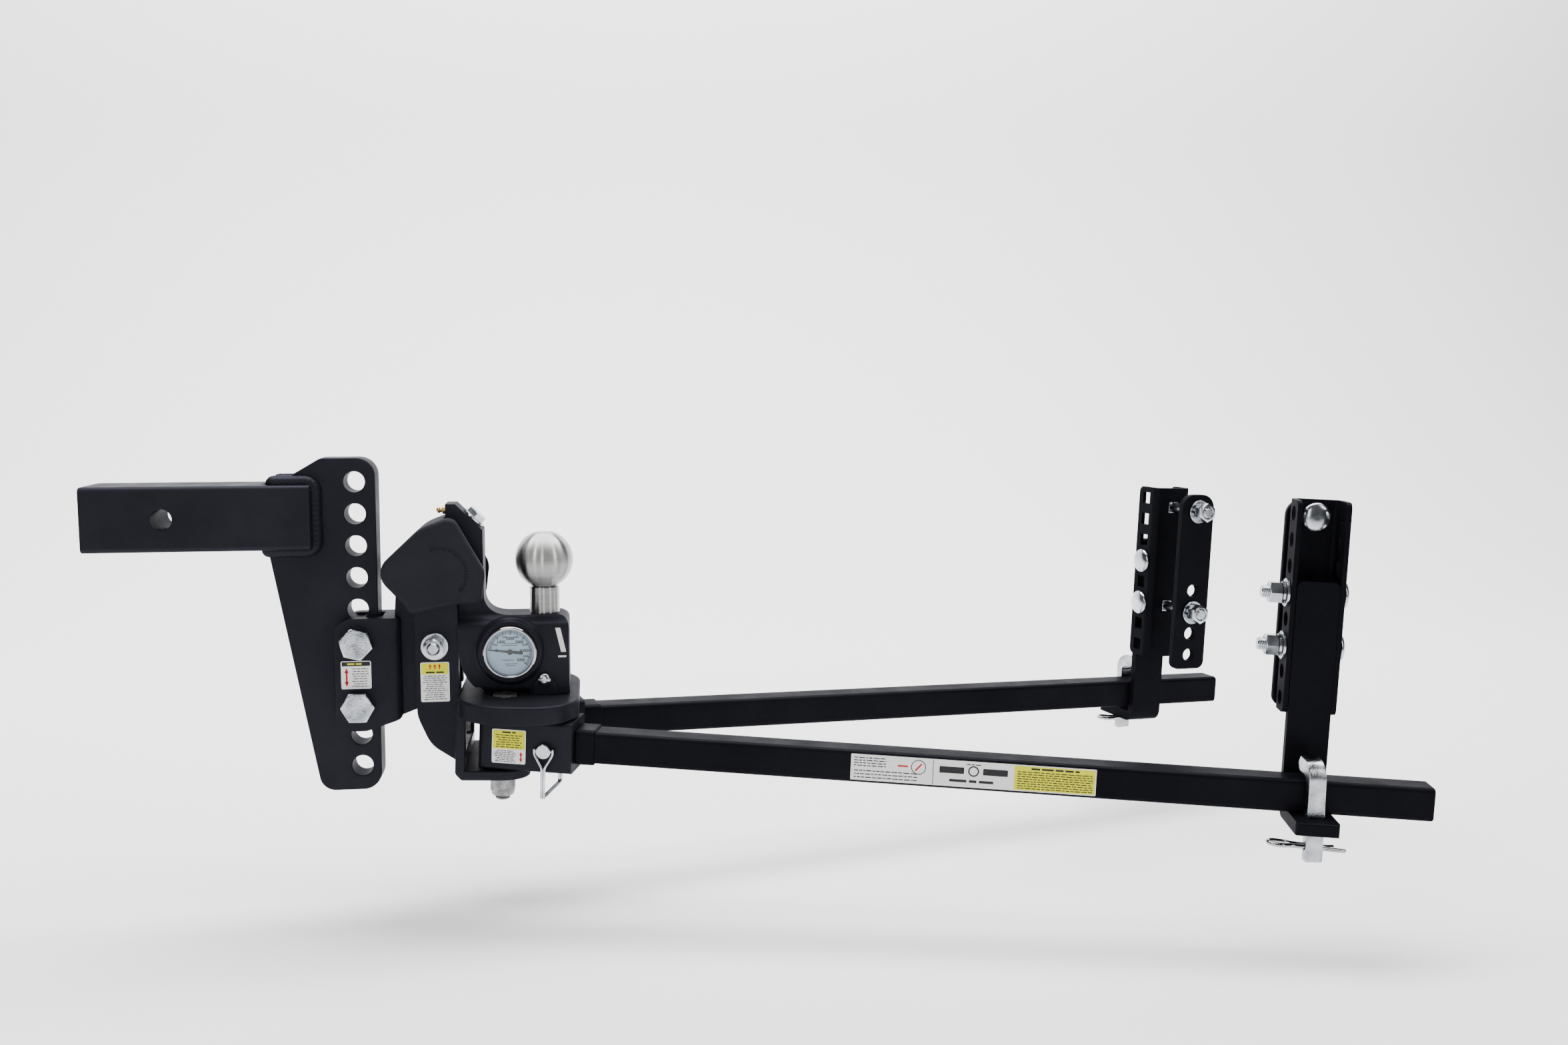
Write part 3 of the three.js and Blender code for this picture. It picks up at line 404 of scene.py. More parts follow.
def bent(points, radius):
    """Straight stretches between points, with rounded corners."""
    points = [Vector(p) for p in points]
    result = [points[0]]
    for before, corner, after in zip(points, points[1:], points[2:]):
        reach = min(radius, (before - corner).length * 0.48, (after - corner).length * 0.48)
        start = corner + (before - corner).normalized() * reach
        end = corner + (after - corner).normalized() * reach
        shares = [k / 8 for k in range(9)]
        result += [start * (1 - t) ** 2 + corner * 2 * t * (1 - t) + end * t * t for t in shares]
    return result + [points[-1]]


def evaluated(obj):
    """Applies an object's modifiers to its mesh."""
    graph = bpy.context.evaluated_depsgraph_get()
    mesh = bpy.data.meshes.new_from_object(obj.evaluated_get(graph))
    old = obj.data
    obj.modifiers.clear()
    obj.data = mesh
    bpy.data.meshes.remove(old)
    return obj


def boolean(base, operation, tools):
    for tool in tools:
        change = base.modifiers.new("boolean", "BOOLEAN")
        change.operation = operation
        change.solver = "EXACT"
        change.object = tool
    evaluated(base)
    for tool in tools:
        bpy.data.objects.remove(tool)
    return base


def cut(base, *tools):
    return boolean(base, "DIFFERENCE", tools)


def join(base, *tools):
    return boolean(base, "UNION", tools)


def common(base, *tools):
    return boolean(base, "INTERSECT", tools)


def gathered(*objects):
    """One object from several separate closed shells."""
    bm = bmesh.new()
    for obj in objects:
        bm.from_mesh(obj.data)
        bpy.data.objects.remove(obj)
    return to_object(bm)


def soften(obj, edge, angle=33, steps=3):
    """Rounds the sharp edges that the cuts left."""
    bm = bmesh.new()
    bm.from_mesh(obj.data)
    bmesh.ops.remove_doubles(bm, verts=bm.verts, dist=0.002)
    bmesh.ops.dissolve_limit(bm, angle_limit=math.radians(0.4), verts=bm.verts, edges=bm.edges)
    bm.to_mesh(obj.data)
    bm.free()
    change = obj.modifiers.new("edges", "BEVEL")
    change.width = edge
    change.segments = steps
    change.limit_method = "ANGLE"
    change.angle_limit = math.radians(angle)
    change.use_clamp_overlap = True
    return evaluated(obj)


def turned_to(obj, axis, x=0.0, y=0.0, flip=False):
    """Lays a solid that stands along Z on another axis, at a place across it."""
    matrix = AXES[axis] @ Matrix.Translation((x, y, 0))
    if flip:
        matrix = matrix @ Matrix.Scale(-1, 4, (0, 0, 1))
    obj.data.transform(matrix)
    bm = bmesh.new()
    bm.from_mesh(obj.data)
    bmesh.ops.recalc_face_normals(bm, faces=bm.faces)
    bm.to_mesh(obj.data)
    bm.free()
    return obj


def piece(obj, name, body, material, matrix=None, nodes=(), sharp=38):
    """Places a finished solid on its body, in metres, with its finish."""
    obj.data.transform(Matrix.Scale(MM, 4) @ (matrix or Matrix.Identity(4)))
    obj.name = name
    obj.data.name = name
    obj.data.polygons.foreach_set("use_smooth", [True] * len(obj.data.polygons))
    obj.data.set_sharp_from_angle(angle=math.radians(sharp))
    weighted = obj.modifiers.new("normals", "WEIGHTED_NORMAL")
    weighted.keep_sharp = True
    weighted.weight = 100
    obj.data.materials.clear()
    obj.data.materials.append(material)
    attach(obj, body)
    if nodes:
        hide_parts(*nodes)
    return obj


# ---------- materials ----------
DARK_SHEEN = (0.4, 0.4, 0.42, 1)


class Finish:
    """A node material in the making: noise and cells drive its colour, roughness and relief."""

    def __init__(self, name, inputs):
        self.material = bpy.data.materials.new(name)
        self.material.use_nodes = True
        self.tree = self.material.node_tree
        self.bsdf = self.tree.nodes["Principled BSDF"]
        for label, value in inputs.items():
            self.bsdf.inputs[label].default_value = value

    def node(self, kind, **values):
        node = self.tree.nodes.new(kind)
        for label, value in values.items():
            node.inputs[label.replace("_", " ")].default_value = value
        return node

    def link(self, output, label):
        self.tree.links.new(output, self.bsdf.inputs[label])

    def texture(self, kind, scale, detail, stretch):
        coords = self.node("ShaderNodeTexCoord")
        mapping = self.node("ShaderNodeMapping", Scale=stretch)
        pattern = self.node(kind, Scale=scale, Detail=detail)
        self.tree.links.new(coords.outputs["Object"], mapping.inputs["Vector"])
        self.tree.links.new(mapping.outputs["Vector"], pattern.inputs["Vector"])
        return pattern

    def noise(self, scale, detail=2.0, stretch=(1, 1, 1)):
        return self.texture("ShaderNodeTexNoise", scale, detail, stretch).outputs["Fac"]

    def cells(self, scale):
        return self.texture("ShaderNodeTexVoronoi", scale, 2.0, (1, 1, 1)).outputs["Distance"]

    def colour(self, source, low, dark, high, light):
        ramp = self.node("ShaderNodeValToRGB")
        for element, place, tone in zip(ramp.color_ramp.elements, (low, high), (dark, light)):
            element.position = place
            element.color = (*tone, 1)
        self.tree.links.new(source, ramp.inputs["Fac"])
        self.link(ramp.outputs["Color"], "Base Color")

    def roughness(self, source, smooth, rough, start=0.3, end=0.7):
        span = self.node("ShaderNodeMapRange", From_Min=start, From_Max=end, To_Min=smooth, To_Max=rough)
        self.tree.links.new(source, span.inputs["Value"])
        self.link(span.outputs["Result"], "Roughness")

    def relief(self, *heights):
        """Chains bump nodes: heights are (source, strength, distance)."""
        previous = None
        for source, strength, distance in heights:
            bump = self.node("ShaderNodeBump", Strength=strength, Distance=distance)
            self.tree.links.new(source, bump.inputs["Height"])
            if previous:
                self.tree.links.new(previous, bump.inputs["Normal"])
            previous = bump.outputs["Normal"]
        self.link(previous, "Normal")


def powder_coat(name, shade):
    """Matt black paint over steel, with faint orange peel and mottling."""
    coat = Finish(name, {"Metallic": 0.5, "Specular IOR Level": 0.02, "Specular Tint": DARK_SHEEN})
    tones = [(0.0135, 0.0138, 0.0180), (0.0190, 0.0194, 0.0250)]
    dark, light = [tuple(part * shade for part in tone) for tone in tones]
    coat.colour(coat.noise(9, 3), 0.3, dark, 0.7, light)
    coat.roughness(coat.noise(38, 4), 0.36, 0.46)
    coat.relief((coat.noise(620, 1.5), 0.22, 0.00025), (coat.noise(2400), 0.12, 0.0001))
    return coat.material


def raw_steel():
    """Bare ground steel with streaks along it and dark blotches."""
    steel = Finish("raw_steel", {"Metallic": 1})
    streaks = steel.noise(900, 5, (1, 1, 0.06))
    steel.colour(steel.noise(120, 6), 0.35, (0.10, 0.10, 0.105), 0.62, (0.42, 0.42, 0.43))
    steel.roughness(streaks, 0.32, 0.62)
    steel.relief((streaks, 0.5, 0.0002))
    return steel.material


def rubber():
    """Dull black rubber with a fine grain."""
    skin = Finish("rubber", {
        "Metallic": 0.4, "Specular IOR Level": 0.03, "Specular Tint": DARK_SHEEN,
        "Sheen Weight": 0.02, "Sheen Roughness": 0.4,
    })
    broad = skin.noise(16, 3)
    skin.colour(broad, 0.3, (0.0165, 0.0168, 0.021), 0.7, (0.0225, 0.0229, 0.028))
    skin.roughness(broad, 0.58, 0.68)
    skin.relief((skin.noise(3000), 0.18, 0.0001))
    return skin.material


def plated(name, dark, light, rough, worn=0.0):
    """Zinc and chrome plating: a bright metal with faint clouding, pits and handling marks."""
    metal = Finish(name, {"Metallic": 1})
    clouds = metal.noise(70, 6)
    metal.colour(clouds, 0.32, dark, 0.66, light)
    metal.roughness(clouds, rough * 0.75, rough * 1.35)
    scuffs = metal.noise(420, 4, (1, 1, 0.2))
    metal.relief((scuffs, 0.10 + worn, 0.00015), (metal.cells(700), 0.06 + worn, 0.0001))
    return metal.material


def galvanised():
    """Hot-dipped zinc: dull grey clouds, with spangles in its sheen."""
    zinc = Finish("galvanised", {"Metallic": 0.9})
    clouds = zinc.noise(160, 6)
    zinc.colour(clouds, 0.3, (0.12, 0.122, 0.12), 0.7, (0.34, 0.345, 0.34))
    zinc.roughness(zinc.cells(230), 0.28, 0.42, 0, 0.8)
    zinc.relief((clouds, 0.3, 0.0003))
    return zinc.material


def stainless():
    """Turned stainless steel: fine rings round the upright axis stretch its highlights into upright bands."""
    steel = Finish("stainless", {"Metallic": 1, "Anisotropic": 0.97, "Anisotropic Rotation": 0.25})
    rings = steel.noise(1500, 4, (0.01, 0.01, 1))
    broad = steel.noise(260, 3, (0.02, 0.02, 1))
    steel.colour(broad, 0.3, (0.33, 0.327, 0.322), 0.7, (0.41, 0.407, 0.402))
    steel.roughness(rings, 0.31, 0.35)
    steel.relief((rings, 0.008, 0.0001))
    tangent = steel.node("ShaderNodeTangent")
    tangent.direction_type = "RADIAL"
    tangent.axis = "Z"
    steel.link(tangent.outputs["Tangent"], "Tangent")
    return steel.material


def brass():
    """Yellow metal with faint clouding."""
    metal = Finish("brass", {"Metallic": 1})
    clouds = metal.noise(180, 5)
    metal.colour(clouds, 0.3, (0.42, 0.28, 0.11), 0.7, (0.62, 0.45, 0.2))
    metal.roughness(clouds, 0.25, 0.45)
    metal.relief((clouds, 0.15, 0.0002))
    return metal.material


def printed(name, dark, light, rough):
    """Printed paper, vinyl or paint: a faint mottle and a smooth film over it."""
    film = Finish(name, {"Specular IOR Level": 0.2})
    mottle = film.noise(300, 4)
    film.colour(mottle, 0.3, dark, 0.7, light)
    film.roughness(mottle, rough * 0.9, rough * 1.15)
    film.relief((mottle, 0.05, 0.0001))
    return film.material


def window():
    """The gauge's clear lens, faintly smeared."""
    glass = Finish("lens", {"Base Color": (0.95, 0.97, 0.98, 1), "Alpha": 0.04})
    glass.roughness(glass.noise(60, 3), 0.02, 0.06)
    return glass.material


COAT = powder_coat("powder_coat", 1)
BLACK = powder_coat("black_coat", 0.4)
RAW = raw_steel()
RUBBER = rubber()
ZINC = plated("zinc", (0.34, 0.36, 0.395), (0.54, 0.565, 0.61), 0.19, worn=0.06)
CHROME = plated("chrome", (0.28, 0.285, 0.30), (0.42, 0.425, 0.44), 0.09)
GALVANISED = galvanised()
STAINLESS = stainless()
BRASS = brass()
# Step bolt heads: the wide light and dark clouds of colour are partly forge marks and partly a painted
# reflection, which the flat heads would not get from the studio.
FORGED_ZINC_PAINTED_GLINTS = plated("forged_zinc_painted_glints", (0.20, 0.215, 0.245), (0.62, 0.645, 0.69), 0.2, worn=0.8)
SPECKLED = plated("speckled_zinc", (0.17, 0.18, 0.20), (0.48, 0.50, 0.53), 0.22, worn=0.6)
STEEL = plated("steel", (0.30, 0.30, 0.31), (0.42, 0.42, 0.43), 0.34, worn=0.1)
DIAL = printed("dial", (0.30, 0.42, 0.53), (0.34, 0.46, 0.57), 0.5)
INK = printed("ink", (0.010, 0.010, 0.012), (0.016, 0.016, 0.018), 0.4)
WHITE = printed("sticker_white", (0.70, 0.70, 0.69), (0.76, 0.76, 0.75), 0.35)
YELLOW = printed("sticker_yellow", (0.62, 0.60, 0.0), (0.68, 0.66, 0.002), 0.4)
RED = printed("sticker_red", (0.38, 0.006, 0.005), (0.46, 0.012, 0.010), 0.4)
LENS = window()


# ---------- repeated hardware ----------
def coated(obj, edge, name, body, node, matrix=None, material=COAT):
    """A painted steel piece with softened edges, in place of one frame node."""
    return piece(soften(obj, edge), name, body, material, matrix, [node])


def fastener(obj, name, body, node, matrix=None, material=ZINC):
    """A plated bolt, nut, pin or screw, in place of one frame node."""
    return piece(obj, name, body, material, matrix, [node], 30)


def washer(outer, inner, lo, hi):
    e = 0.35
    profile = [
        (inner, lo + e), (inner + e, lo), (outer - e, lo), (outer, lo + e),
        (outer, hi - e), (outer - e, hi), (inner + e, hi), (inner, hi - e),
    ]
    return ring_lathe(profile, 56)


def spring_washer(outer, inner, lo, hi):
    """A split ring that climbs a little from one end to the other."""
    steps, first_angle, sweep = 52, 8, 344
    thick = (hi - lo) * 0.72
    section = ((inner, 0), (outer, 0), (outer, thick), (inner, thick))
    rings = []
    for k in range(steps + 1):
        angle = math.radians(first_angle + sweep * k / steps)
        base = lo + (hi - lo - thick) * k / steps
        rings.append([(r * math.cos(angle), r * math.sin(angle), base + z) for r, z in section])
    return skinned(rings)


def nut_stack(start):
    """Flat washer, spring washer and nut on a half inch bolt, standing along Z."""
    spring = start + 2.6
    nut = spring + 3.2
    return [
        washer(13.5, 7, start, spring - 0.05),
        spring_washer(10.6, 6.9, spring, nut - 0.05),
        hexagon(NUT_FLATS, nut, nut + 12, bore=6.5, chamfer_lo=True, chamfer_hi=True),
    ]


def dome_head(neck, length, thread_from):
    """A carriage bolt standing along Z, its dome's underside at 0."""
    steps, shank, skirt = 14, 5.9, 0.8
    profile = [(0, -DOME_HEIGHT)]
    for k in range(1, steps + 1):
        angle = math.pi / 2 * k / steps
        height = -DOME_HEIGHT * math.cos(angle) - skirt * math.sin(angle)
        profile.append((DOME_RADIUS * math.sin(angle), height))
    profile += [(DOME_RADIUS, -0.4), (DOME_RADIUS - 0.5, 0), (shank, 0), (shank, thread_from + 0.5)]
    profile.append((0, thread_from + 0.5))
    square = prism(rect(-6.3, 6.3, -6.3, 6.3, 1), -0.2, neck, edge=0.4)
    return gathered(lathe(profile, 48), square, threaded(6.3, thread_from, length))


def hex_bolt(flats, head, radius, lo, length, thread_from, turn=0.0):
    """A hexagon bolt standing along Z: head from lo to lo + head, thread at the far end."""
    top = lo + head
    shank = lathe([(0, top - 1), (radius, top - 1), (radius, thread_from), (0, thread_from)], 40)
    mark = lathe([(0, lo - 0.25), (flats * 0.36, lo - 0.25), (flats * 0.38, lo + 0.2), (0, lo + 0.2)], 48)
    head_solid = hexagon(flats, lo, top, chamfer_lo=True, turn=turn)
    bars = []
    for k in range(6):
        ray = Vector((math.cos(turn + k * math.pi / 3), math.sin(turn + k * math.pi / 3)))
        bars.append(prism(strip(ray * flats * 0.16, ray * flats * 0.33, 0.7), lo - 0.75, lo - 0.1))
    return gathered(head_solid, mark, shank, *bars, threaded(radius, thread_from - 0.5, length))


def weld(points, radius=3.0, pitch=2.4):
    """A weld bead with the ripples of its pool, along a path of straight stretches."""
    points = [Vector(p) for p in points]
    route = [points[0]]
    for start, end in zip(points, points[1:]):
        steps = max(2, round((end - start).length / 0.6))
        route += [start.lerp(end, k / steps) for k in range(1, steps + 1)]
    generator = random.Random(7)
    phases = [generator.uniform(-0.008, 0.008) for _ in route]
    return tube(route, radius, 20, lambda i: 1 + 0.016 * math.sin(2 * math.pi * i * 0.6 / pitch) + phases[i])


def words(x0, x1, y, thick, lift, seed, centred=True):
    """Short dashes in a row, like the words of a small print line."""
    generator = random.Random(seed)
    inset = generator.uniform(0, 0.16) * (x1 - x0) if centred else 0
    x, end = x0 + inset, x1 - inset
    dashes = []
    while x < end - thick:
        length = min(generator.uniform(2.2, 6.5) * thick, end - x)
        dashes.append(box(x, x + length, y - thick / 2, y + thick / 2, lift, lift + PRINT))
        x += length + thick * 0.9
    return dashes


def print_block(x0, x1, top, bottom, rows, thick, lift=ON_PAPER, centred=True):
    """Rows of small print between two heights."""
    dashes = []
    for k in range(rows):
        y = top - (top - bottom) * (k + 0.5) / rows
        dashes += words(x0, x1, y, thick, lift, 10 * rows + k, centred)
    return dashes


def panel(x0, x1, y0, y1, lift, radius=0.6):
    return prism(rect(x0, x1, y0, y1, radius), lift, lift + PRINT)


def double_arrow(x, y0, y1, half):
    head = half * 2.2
    lo, hi = ON_PAPER, ON_PAPER + PRINT
    shaft = box(x - half * 0.4, x + half * 0.4, y0 + head * 0.8, y1 - head * 0.8, lo, hi)
    up = prism([(x - half, y1 - head), (x + half, y1 - head), (x, y1)], lo, hi)
    down = prism([(x - half, y0 + head), (x + half, y0 + head), (x, y0)], lo, hi)
    return [shaft, up, down]


def paper(x0, x1, y0, y1, radius=PAPER_RADIUS):
    return prism(rect(x0, x1, y0, y1, radius), 0, ON_PAPER)


def stick(layers, name, body, matrix):
    """Sets a sticker's layers on a face: local x and y lie in the face, z points out of it."""
    for material, solids in layers:
        piece(gathered(*solids), f"{name}_{material.name}", body, material, matrix)


def facing(x, y, z, right, up):
    """Matrix of a face at a point, with the given right and up directions."""
    right = Vector(right).normalized()
    up = Vector(up).normalized()
    matrix = Matrix((right, up, right.cross(up))).transposed().to_4x4()
    matrix.translation = Vector((x, y, z))
    return matrix


# ---------- shank, drop plate and clevis ----------
def build_shank():
    bar = prism(rect(-SHANK_HALF, SHANK_HALF, -SHANK_HALF, SHANK_HALF, 5), 0, SHANK_LENGTH, "X")
    bore = cylinder("Y", SHANK_PIN_X, 0, 10.3, -40, 40, count=64)
    slot_half = PLATE_HALF + GAP
    slot = box(164.6, SHANK_LENGTH + 1, -slot_half, slot_half, -40, 40)
    coated(cut(bar, bore, slot), 1.0, "shank", "root", "shank_bar")


def build_plate():
    outline = [(168.5, -30), (213, -277, 16), (271.2, -277, 18), (273.2, 57, 18), (221, 57, 9), (168.5, 26)]
    holes = [(HOLE_X, HOLE_Z - HOLE_PITCH * i, 10.3) for i in range(HOLES)]
    plate = prism(outline, -PLATE_HALF, PLATE_HALF, "Y", holes, edge=1.3)
    piece(plate, "height_plate", "root", COAT, nodes=["drop_plate"])
    loop = [(171, 0, -32.5), (210, 0, -33), (214.5, 0, -28), (214.5, 0, 28), (210, 0, 33), (177, 0, 33)]
    for name, side in (("weld_shank_near", -1), ("weld_shank_far", 1)):
        points = [Vector(p) + Vector((0, side * (PLATE_HALF + 1.5), 0)) for p in loop]
        piece(weld(bent(points, 6), 7.4, 5), name, "root", COAT, sharp=60)


def build_clevis():
    cheek = [(229.5, -101, 20), (229.5, -214, 20), (260, -214, 6), (294, -203, 4), (294, -101, 4)]
    shell = prism(cheek, -CLEVIS_OUTER, CLEVIS_OUTER, "Y")
    outer = CLEVIS_OUTER
    plan = prism([(229.5, -outer, 4), (294, -outer, 9), (294, outer, 9), (229.5, outer, 4)], -230, -90)
    shell = common(shell, plan)
    half = PLATE_HALF + GAP
    slot = box(220, 276, -half, half, -230, -90)
    tongue_outline = [
        (290, -101), (290, -202.5), (311, -194.5, 5), (323, -152, 9), (350, -152, 21.5), (350, -108, 21.5),
        (320, -108, 6), (309, -101, 5),
    ]
    tongue = prism(tongue_outline, -14.6, 14.6, "Y")
    ear = prism([(288, -107), (312, -107), (316, -54, 10), (291, -54, 10)], -14.6, 14.6, "Y")
    room = box(276, 350, -8.4, 8.4, -98, -40)
    pin = cylinder("Y", *TRUNNION, 8, -20, 20)
    pivot = cylinder("Y", *PIVOT, 9.85, -20, 20)
    bolts = [cylinder("Y", HOLE_X, HOLE_Z - HOLE_PITCH * i, 9.9, -30, 30) for i in (5, 7)]
    body = cut(join(cut(shell, slot), tongue, ear), room, pin, pivot, *bolts)
    coated(body, 2.4, "clevis", "root", "clevis_bracket")


def build_height_bolts():
    face = -CLEVIS_OUTER - GAP
    head, nut_height = 9.6, 16.5
    for level, i, turn in (("upper", 5, 16), ("lower", 7, 30)):
        z = HOLE_Z - HOLE_PITCH * i
        bolt = hex_bolt(STEP_FLATS, head, 9.4, face - head, 49.9, 24, math.radians(turn))
        turned_to(bolt, "Y", HOLE_X, z)
        # The bolt heads' finish carries painted reflections as strong light and dark clouds of colour.
        fastener(bolt, f"step_bolt_{level}", "root", f"height_bolt_{level}", material=FORGED_ZINC_PAINTED_GLINTS)
        nut = hexagon(STEP_FLATS, -face, -face + nut_height, bore=9.6, chamfer_lo=True, chamfer_hi=True)
        turned_to(nut, "Y", HOLE_X, z)
        fastener(nut, f"step_nut_{level}", "root", f"height_nut_{level}")


# ---------- head frame, tilt screw and cover ----------
def build_head_frame():
    side = [
        (309, -72, 12), (309.2, -200, 34), (322, -230, 34), (345.6, -246), (348.4, -175.6), (350.6, -175.6),
        (350.6, -34), (330, -34, 10),
    ]
    plates = prism(side, -SIDE_OUTER, SIDE_OUTER, "Y")
    between = box(300, 360, -SIDE_INNER, SIDE_INNER, -260, 0)
    web = prism([(334, -158, 4), (334, -232, 4), (346, -240), (348.6, -158)], -16, 16, "Y")
    bore = cylinder("Y", *PIVOT, 6.8, -40, 40)
    body = cut(join(cut(plates, between), web), bore)
    coated(body, 1.4, "side_plates", "head", "head_frame")


def build_clamp():
    face = -SIDE_OUTER - GAP
    head = hexagon(NUT_FLATS, SIDE_OUTER + GAP, SIDE_OUTER + 8.5, chamfer_hi=True)
    shank = lathe([(0, -30), (6.2, -30), (6.2, SIDE_OUTER + 1), (0, SIDE_OUTER + 1)], 36)
    end = threaded(6.2, -SIDE_OUTER - 17, -29, down=True)
    bolt = turned_to(gathered(head, shank, end), "Y", *PIVOT)
    fastener(bolt, "pivot_bolt", "head", "clamp_bolt")
    flat = washer(13.5, 6.8, face - 2.6, face)
    nut = hexagon(NUT_FLATS, face - 13.6, face - 2.7, bore=6.5, chamfer_lo=True)
    stack = turned_to(gathered(flat, nut), "Y", *PIVOT)
    fastener(stack, "pivot_nut", "head", "clamp_nut")


def along_screw():
    """Millimetre frame of the tilt screw, standing on its bearing."""
    matrix = Matrix.Rotation(math.pi / 4, 4, "Y")
    matrix.translation = Vector((THRUST[0], 0, THRUST[1]))
    return matrix


def build_tilt_screw():
    seat = SEAT + 0.6
    flat = washer(12.5, 6.6, seat, seat + 2.4)
    drive = hexagon(NUT_FLATS, seat + 2, seat + 8, chamfer_hi=True)
    shank = lathe([(0, -10), (6.1, -10), (6.1, seat + 3), (0, seat + 3)], 36)
    thread = threaded(6.3, -86, -9, down=True)
    screw = gathered(flat, drive, shank, thread)
    fastener(screw, "tilt_screw_turned", "tilt_screw", "lead_screw", along_screw())
    profile = [
        (0, 0), (3.6, 0), (4.2, 0.6), (4.2, 3.2), (3.7, 3.7), (2.3, 4), (2.3, 5.6), (3.1, 6.4), (3.2, 7.6),
        (2.2, 9), (1.2, 9.6), (0, 9.6),
    ]
    matrix = Matrix.Translation((340 - GAP, 0, 3.4)) @ Matrix.Rotation(-math.pi / 2, 4, "Y")
    piece(lathe(profile, 32), "grease_nipple", "head", BRASS, matrix, ["grease_fitting"], 30)


def build_cover():
    face = [
        (270.7, -54.5, 19), (317, -10.9, 40), (348.5, 0.6, 11), (379, -55, 20), (375, -86.3, 4),
        (350, -87.6, 60), (306.5, -96.4, 4), (299.3, -86, 6),
    ]
    shell = prism(rounded(face, 5.2), -38, 38, "Y", edge=5, steps=6)
    inner = [(287, -60, 8), (334, -8, 4), (351, -8, 4), (369, -50, 12), (370, -120), (287, -120)]
    hollow = SIDE_OUTER + 0.5
    inside = prism(inner, -hollow, hollow, "Y")
    tower = box(339, 400, -hollow, hollow, -130, 30)
    plate_room = box(260, 290, -PLATE_HALF - 1.5, PLATE_HALF + 1.5, -130, -40)
    centre = Vector((335.5, -56.5))
    grooves = []
    for k in range(27):
        angle = math.radians(108 - 5.7 * k)
        long = k % 5 == 0 or k == 26
        ray = Vector((math.cos(angle), math.sin(angle)))
        bar = strip(centre + ray * (23.4 if long else 24.3), centre + ray * 27.4, 0.75 if long else 0.42)
        grooves.append(prism(bar, -39, -37.2, "Y"))
    body = cut(shell, inside, tower, plate_room, gathered(*grooves))
    piece(body, "cover_shell", "head", RUBBER, nodes=["rubber_cover"], sharp=50)


# ---------- ball housing, ball and gauge ----------
def deck(x):
    return -224.1 + 45 * math.cos(math.radians(2.33)) - (x - 394.2) * math.tan(math.radians(2.33))


def build_housing():
    slant = THRUST[0] + THRUST[1] + SEAT * math.sqrt(2)
    points = [(340, 10.5), (340, -30), (351, -34), (351, GAUGE_Z)]
    points += arc(GAUGE_X, GAUGE_Z, 50.5, 180, 234, 18)[1:]
    points += [(374, deck(374) + GAP), (460, deck(460) + GAP), (460, -112.7)]
    points += arc(449, -112.7, 11, 0, 90, 8)[1:]
    points += [(402, -101.7)] + bend((402, -101.7), (379, -101.7), (376, -84), 10)
    points += [(376, slant - 376), (slant - 10.5, 10.5)]
    profile = prism(through(points), -32, 32, "Y")
    crown = [
        (-32, -190), (32, -190), (32, -109, 9), (15.5, -101.7, 12),
        (15.5, 20), (-15.5, 20), (-15.5, -101.7, 12), (-32, -109, 9),
    ]
    body = common(profile, prism(crown, 330, 500, "X"))
    boss = cylinder("Y", GAUGE_X, GAUGE_Z, 31.5, BOSS_FACE, -20, edge=2.2, count=96)
    flare = [(0, 0), (35.5, 0), (33.6, 1.2), (32.4, 3), (31.9, 5), (31.4, 5.4), (0, 5.4)]
    collar = moved(turned_to(lathe(flare, 96), "Y", GAUGE_X, GAUGE_Z, flip=True), 0, -31.9, 0)
    lug = prism([(422, -184), (449, -184), (446.5, -163, 11.5), (423.5, -163, 11.5)], -34.6, -20, "Y", edge=2)
    mark = prism([(446.5, -113.5), (451.5, -113.5), (457, -138), (452, -138)], -32.12, -31.9, "Y")
    rule = prism(rect(449, 457, -143.4, -141.6), -32.12, -31.9, "Y")
    piece(gathered(mark, rule), "head_mark", "head", WHITE)
    relief_outline = [(340, -200), (421, -200), (421, deck(421) + 6.5), (340, deck(351) + 6.5)]
    reliefs = [prism(relief_outline, -50, -17, "Y"), prism(relief_outline, 17, 50, "Y")]
    body = cut(join(body, boss, collar, lug), *reliefs, box(400, 470, -50, 50, -200, deck(430) + GAP))
    tools = [
        cylinder("Z", BALL_X, 0, 15.35, -156, -80),
        cylinder("Y", GAUGE_X, GAUGE_Z, BEZEL + GAP, -60, -22, count=96),
        cylinder("Y", *THRUST, 12, -14, 14),
        cylinder("Y", *FILL_SCREW, 4.3, -40, -23),
    ]
    tunnel = cylinder("Z", 0, 0, 10, -60, 0)
    mouth = cylinder("Z", 0, 0, 8.4, -1, 40)
    for tool in (tunnel, mouth):
        tool.data.transform(along_screw())
    body = cut(body, *tools, tunnel, mouth)
    coated(body, 1.8, "head_block", "head", "ball_housing")


def build_ball():
    flat, neck = math.acos(11 / BALL_R), -math.acos(11.9 / BALL_R)
    foot = -150 - BALL_Z
    profile = [(0, foot), (14.2, foot), (15, foot + 0.8), (15, -28.2), (14.6, -27.5), (12.1, -27.1)]
    steps = 56
    for k in range(steps + 1):
        angle = neck + (flat - neck) * k / steps
        profile.append((BALL_R * math.cos(angle), BALL_R * math.sin(angle)))
    top = BALL_R * math.sin(flat)
    profile += [(10.4, top - 0.02), (9.8, top - 0.3), (0, top - 0.3)]
    ball = lathe(profile, 128)
    piece(ball, "ball", "ball", STAINLESS, None, ["tow_ball"], 30)
    ball.data.transform(Matrix.Translation(Vector((BALL_X, 0, BALL_Z)) * MM))


